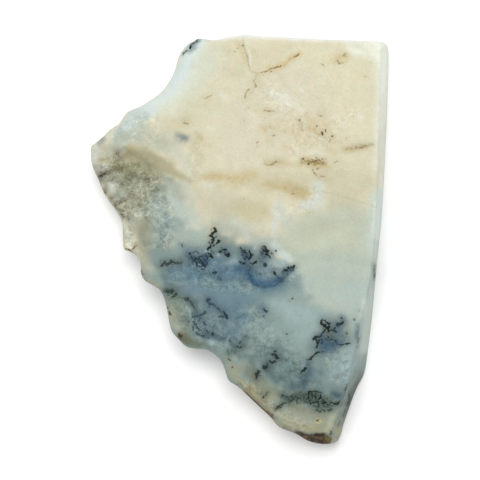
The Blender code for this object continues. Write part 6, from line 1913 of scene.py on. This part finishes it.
def paint_slab(vertices, face_end, wall_end, loop, clusters):
    """The stain, the ink with the saw marks' share, the ink's tint and the wear of every vertex."""
    colour = paint(vertices)
    colour[wall_end:] = paint(vertices[wall_end:] + BACK_STAIN_SHIFT, BACK_STAIN_SEED)
    edge = np.full(len(vertices), -1.0)
    strength = np.zeros(len(vertices))
    tint = np.zeros((len(vertices), 3))
    around = (np.arange(wall_end - face_end) % len(loop)) * RIM_STEP
    spread = np.stack([around, vertices[face_end:wall_end, 2]], axis=1)
    parts = (
        (slice(0, face_end), vertices[:face_end, :2], clusters),
        (slice(face_end, wall_end), spread, wall_clusters(loop)),
        (slice(wall_end, None), vertices[wall_end:, :2], back_clusters()),
    )
    for part, plan, marks in parts:
        edge[part], strength[part], tint[part] = add_ink(plan, marks, colour[part])
    plan = vertices[:, :2]
    wear = np.stack([field(plan, kind) for kind in (MOSS_FIELD, SUGAR_FIELD, RUST_FIELD)], axis=1)
    saw = field(plan, SAW_FIELD)
    return colour, np.stack([edge, strength, saw], axis=1), tint, wear


# Noises of the surface: length in millimetres, detail and roughness; then the range that is read from
# the noise and the values that its two ends stand for.
CLOUDS = ((2.2, 6.0, 0.7), (0.3, 0.7, 0.95, 1.05))
GRAIN = ((0.24, 3.0, 0.8), (0.3, 0.7, 0.92, 1.08))
FLECKS = ((0.4, 4.0, 0.75), (0.55, 0.66, 0.0, 0.12))
CRUMBS = ((0.9, 6.0, 0.88), (0.38, 0.62, -0.65, 0.65))
PATCHES = ((0.7, 5.0, 0.85), (0.36, 0.64, -0.16, 0.16))
HUES = ((1.3, 4.0, 0.65), (0.4, 0.6))
CREVICE_SHADE = ((0.5, 4.0, 0.75), (0.45, 0.36))
RAGS = ((0.26, 3.0, 0.75), (0.3, 0.7, -0.5, 0.5))
POLISH = ((1.3, 5.0, 0.6), (0.3, 0.7, 0.42, 0.6))
SPECKS = (0.5, 5.0, 0.8)

# Specks of rust and moss: how much their field adds to the noise, the range over which specks set in,
# how dense the field is when they are strongest, how strong that is, and their colour.
RUST = {"push": 0.12, "range": (0.585, 0.68), "dense": 1.0, "most": 0.62, "colour": (0.17, 0.118, 0.045, 1.0)}
MOSS = {"push": 0.14, "range": (0.59, 0.67), "dense": 0.6, "most": 0.75, "colour": (0.016, 0.028, 0.034, 1.0)}

# Saw marks in painted light, sugary and broken stone: the ranges over which they set in, the drift of the
# fibres, which are partly painted light, and the tints of the painted shade in the crevices, warm patches
# and cool patches.
RING_LEVELS = (0.4, 1.0, -0.03, 0.1)
BROKEN_RANGE = (0.6, 0.95)
SUGAR_MOST = 0.55
LEAN_ANGLE = 0.75
LEAN_STRETCH = 1.9
CURL_SCALE = 900.0
CURL_REACH = 0.0009
FIBRE_LINES = (0.55, 0.045)
FIBRE_LIGHT_LEVEL = 0.38
CREVICE_SHADE_SHARE = 0.6
CREVICE_SHADE_TONE = (0.55, 0.52, 0.43, 1.0)
WARM_TONE = (1.01, 0.991, 0.978, 1.0)
COOL_TONE = (0.988, 1.007, 1.004, 1.0)
BUMP_STRENGTH = 0.35
BUMP_DISTANCE = 0.00006

# How glossy the stone is and how much light glows through it, each on bare stone and on ink or rust.
GLOSS = (0.1, 0.03)
GLOW = (0.05, 0.0)
GLOW_RADIUS = (0.9, 0.9, 0.9)
GLOW_SCALE = 0.0003


class Nodes:
    """Adds nodes to a material and joins them: a number or colour sets a socket, a socket is linked."""

    def __init__(self, material):
        material.use_nodes = True
        self.tree = material.node_tree
        self.shader = self.tree.nodes["Principled BSDF"]

    def put(self, socket, value):
        if isinstance(value, bpy.types.NodeSocket):
            self.tree.links.new(value, socket)
        else:
            socket.default_value = value

    def add(self, kind, inputs=(), **settings):
        node = self.tree.nodes.new("ShaderNode" + kind)
        for name, value in settings.items():
            setattr(node, name, value)
        for name, value in dict(inputs).items():
            self.put(node.inputs[name], value)
        return node

    def surface(self, inputs):
        """Sets or links the shader's own sockets."""
        for name, value in inputs.items():
            self.put(self.shader.inputs[name], value)

    def attribute(self, name, output):
        return self.add("Attribute", attribute_name=name).outputs[output]

    def parts(self, name):
        """The three numbers of a painted layer."""
        outputs = self.add("SeparateXYZ", {"Vector": self.attribute(name, "Vector")}).outputs
        return outputs["X"], outputs["Y"], outputs["Z"]

    def noise(self, place, length, detail, roughness):
        inputs = {"Vector": place, "Scale": 1.0 / MM / length, "Detail": detail, "Roughness": roughness}
        return self.add("TexNoise", inputs).outputs["Fac"]

    def texture(self, place, kind, smooth=True):
        """One of the noises above, spread over its values."""
        grain, levels = kind
        return self.ramp(self.noise(place, *grain), *levels, smooth=smooth)

    def along(self, place, angle, stretch):
        """The place, drawn out along this direction of the face."""
        inputs = {"Vector": place, "Rotation": (0.0, 0.0, angle), "Scale": (stretch, 1.0, 1.0)}
        return self.add("Mapping", inputs, vector_type="TEXTURE").outputs["Vector"]

    def lines(self, place, length, width):
        """Thin winding lines: 1 on the line and 0 away from it."""
        off = self.math("SUBTRACT", self.noise(place, length, 1.5, 0.5), 0.5)
        return self.ramp(self.math("ABSOLUTE", off), 0.0, width, 1.0, 0.0)

    def ramp(self, value, low, high, to_low=0.0, to_high=1.0, smooth=True):
        inputs = {"Value": value, "From Min": low, "From Max": high, "To Min": to_low, "To Max": to_high}
        kind = "SMOOTHSTEP" if smooth else "LINEAR"
        return self.add("MapRange", inputs, interpolation_type=kind).outputs["Result"]

    def math(self, operation, *values):
        node = self.add("Math", operation=operation)
        for socket, value in zip(node.inputs, values):
            self.put(socket, value)
        return node.outputs["Value"]

    def times(self, first, second):
        return self.math("MULTIPLY", first, second)

    def plus(self, first, second):
        return self.math("ADD", first, second)

    def vectors(self, operation, *values):
        node = self.add("VectorMath", enumerate(values), operation=operation)
        return node.outputs["Vector"]

    def mix(self, share, first, second, blend="MIX"):
        node = self.add("Mix", data_type="RGBA", blend_type=blend)
        self.put(node.inputs["Factor"], share)
        self.put(node.inputs[6], first)
        self.put(node.inputs[7], second)
        return node.outputs[2]

    def specked(self, place, under, field_of, kind):
        """Specks over a colour, more and stronger ones where their field is dense."""
        specks = self.math("MULTIPLY_ADD", field_of, kind["push"], self.noise(place, *SPECKS))
        strong = self.ramp(field_of, 0.0, kind["dense"], 0.0, kind["most"])
        return self.mix(self.times(self.ramp(specks, *kind["range"]), strong), under, kind["colour"])


def saw_ring_light(nodes, place):
    """How much painted light on the fine arcs of the saw lightens the stone."""
    inputs = {"Vector": place, "Location": SAW_CENTRE}
    about = nodes.add("Mapping", inputs, vector_type="TEXTURE").outputs["Vector"]
    inputs = {
        "Vector": about, "Scale": RING_SCALE / (SAW_PITCH * MM), "Distortion": 1.0,
        "Detail": 2.0, "Detail Scale": 0.4,
    }
    rings = nodes.add("TexWave", inputs, wave_type="RINGS", rings_direction="Z").outputs["Fac"]
    return nodes.ramp(rings, *RING_LEVELS)


def agate_material():
    """Stone in its painted stains, with grain, saw marks and fibres in painted light, painted shade in
    crevices, crumbs, specks and ink, slightly glossy.
    """
    material = bpy.data.materials.new("agate")
    nodes = Nodes(material)
    place = nodes.add("TexCoord").outputs["Object"]
    leaning = nodes.along(place, LEAN_ANGLE, LEAN_STRETCH)
    moss, sugar, rust = nodes.parts("wear")
    ink_edge, ink_strength, saw = nodes.parts("ink")
    broken = nodes.ramp(sugar, *BROKEN_RANGE)

    # Clouds and grain make the stained stone lighter and darker, and painted light picks out the fine saw
    # lines.
    grain = nodes.noise(place, *GRAIN[0])
    grained = nodes.ramp(grain, *GRAIN[1], smooth=False)
    level = nodes.times(nodes.texture(place, CLOUDS, smooth=False), grained)
    level = nodes.plus(level, nodes.times(saw_ring_light(nodes, place), saw))

    # Pale grains where the stone is sugary, and beige and grey patches with faint light fibres where it is
    # broken, the fibres partly painted light on their ridges.
    grains = nodes.plus(nodes.texture(place, FLECKS), nodes.texture(place, CRUMBS, smooth=False))
    level = nodes.plus(level, nodes.times(grains, nodes.math("MINIMUM", sugar, SUGAR_MOST)))
    curls = nodes.add("TexNoise", {"Vector": place, "Scale": CURL_SCALE, "Detail": 2.0}).outputs["Color"]
    curled = nodes.vectors("MULTIPLY_ADD", curls, (CURL_REACH,) * 3, leaning)
    patches = nodes.texture(leaning, PATCHES, smooth=False)
    fibres = nodes.times(nodes.lines(curled, *FIBRE_LINES), FIBRE_LIGHT_LEVEL)
    level = nodes.plus(level, nodes.times(nodes.plus(patches, fibres), broken))
    scaled = nodes.vectors("MULTIPLY", nodes.attribute("stain", "Color"), level)
    tone = nodes.mix(nodes.texture(place, HUES), WARM_TONE, COOL_TONE)
    toned = nodes.mix(1.0, scaled, tone, "MULTIPLY")
    # Painted shade in the crevices between the fibres of the broken stone.
    gaps = nodes.times(nodes.times(nodes.texture(curled, CREVICE_SHADE), broken), CREVICE_SHADE_SHARE)
    crevice_shaded = nodes.mix(gaps, toned, CREVICE_SHADE_TONE, "MULTIPLY")

    # Brown specks, black growth, and the dendrites' own stems.
    rusted = nodes.specked(place, crevice_shaded, rust, RUST)
    mossed = nodes.specked(place, rusted, moss, MOSS)
    ragged = nodes.plus(ink_edge, nodes.texture(place, RAGS, smooth=False))
    share = nodes.times(nodes.ramp(ragged, -0.5, 0.5), ink_strength)
    final = nodes.mix(share, mossed, nodes.attribute("ink_tint", "Color"))

    # Ink and rust are duller than the stone, and no light glows through them.
    dull = nodes.math("MAXIMUM", share, rust)
    height = nodes.math("MULTIPLY_ADD", broken, patches, grain)
    bump = nodes.add("Bump", {"Height": height, "Strength": BUMP_STRENGTH, "Distance": BUMP_DISTANCE})
    nodes.surface({
        "Base Color": final,
        "Roughness": nodes.texture(place, POLISH, smooth=False),
        "Normal": bump.outputs["Normal"],
        "Specular IOR Level": nodes.ramp(dull, 0.0, 1.0, *GLOSS, smooth=False),
        "Subsurface Weight": nodes.ramp(dull, 0.0, 1.0, *GLOW, smooth=False),
        "Subsurface Radius": GLOW_RADIUS,
        "Subsurface Scale": GLOW_SCALE,
    })
    return material


def make_slab():
    """The whole stone as one piece, with its painted layers."""
    clusters = face_clusters()
    vertices, faces, face_end, wall_end, loop = slab_mesh(clusters)
    mesh = bpy.data.meshes.new("agate_stone")
    mesh.from_pydata((vertices * MM).tolist(), [], faces.tolist())
    mesh.shade_smooth()
    colour, ink, tint, wear = paint_slab(vertices, face_end, wall_end, loop, clusters)
    for name, values in (("stain", colour), ("ink_tint", tint)):
        layer = mesh.color_attributes.new(name, "FLOAT_COLOR", "POINT")
        opaque = np.concatenate([values, np.ones((len(values), 1))], axis=1)
        layer.data.foreach_set("color", opaque.ravel())
    for name, values in (("ink", ink), ("wear", wear)):
        layer = mesh.attributes.new(name, "FLOAT_VECTOR", "POINT")
        layer.data.foreach_set("vector", values.ravel())
    mesh.materials.append(agate_material())
    return placed(bpy.data.objects.new("agate_stone", mesh))


# The studio, in metres: a camera straight above, a white floor just under the stone, and soft light.
CAMERA_HEIGHT = 0.45
CAMERA_CLIP = (0.01, 5.0)
FIELD_WIDTH = GRID_CELLS * CELL * MM
SENSOR_WIDTH = 36.0
FLOOR_HALF = 3.0
FLOOR_DROP = 0.00002
FLOOR_COLOUR = (0.9, 0.9, 0.9, 1.0)
WHITE = (1.0, 1.0, 1.0, 1.0)
SKY_STRENGTH = 0.83
LAMP_SIZE = (0.5, 0.4)
LAMP_ENERGY = 4.0
LAMP_PLACE = (-0.08, 0.27, 0.75)


def placed(thing):
    """The object, once it is in the scene."""
    bpy.context.scene.collection.objects.link(thing)
    return thing


def make_camera():
    """A camera whose picture is as wide as the grid."""
    camera = bpy.data.cameras.new("camera")
    camera.sensor_width = SENSOR_WIDTH
    camera.lens = SENSOR_WIDTH * CAMERA_HEIGHT / FIELD_WIDTH
    camera.clip_start, camera.clip_end = CAMERA_CLIP
    rig = placed(bpy.data.objects.new("camera", camera))
    rig.location = (0.0, 0.0, CAMERA_HEIGHT + 0.5 * THICKNESS * MM)
    bpy.context.scene.camera = rig


def make_floor():
    """A wide pale floor."""
    mesh = bpy.data.meshes.new("floor")
    corners = [(FLOOR_HALF * x, FLOOR_HALF * y, 0) for x, y in ((-1, -1), (1, -1), (1, 1), (-1, 1))]
    mesh.from_pydata(corners, [], [(0, 1, 2, 3)])
    material = bpy.data.materials.new("floor_white")
    Nodes(material).surface({"Base Color": FLOOR_COLOUR, "Roughness": 0.9, "Specular IOR Level": 0.0})
    mesh.materials.append(material)
    floor = placed(bpy.data.objects.new("floor", mesh))
    floor.location = (0.0, 0.0, -FLOOR_DROP)


def make_light():
    """An even sky and one large soft lamp above and behind the stone."""
    world = bpy.data.worlds.new("studio")
    world.use_nodes = True
    background = world.node_tree.nodes["Background"]
    background.inputs["Color"].default_value = WHITE
    background.inputs["Strength"].default_value = SKY_STRENGTH
    bpy.context.scene.world = world
    light = bpy.data.lights.new("softbox", "AREA")
    light.shape = "RECTANGLE"
    light.size, light.size_y = LAMP_SIZE
    light.energy = LAMP_ENERGY
    lamp = placed(bpy.data.objects.new("softbox", light))
    lamp.location = LAMP_PLACE
    lamp.rotation_euler = (-lamp.location).to_track_quat("-Z", "Y").to_euler()
    bpy.context.scene.view_settings.view_transform = "Standard"


slab = make_slab()
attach(slab, "root")
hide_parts("agate_slab")
make_camera()
make_floor()
make_light()
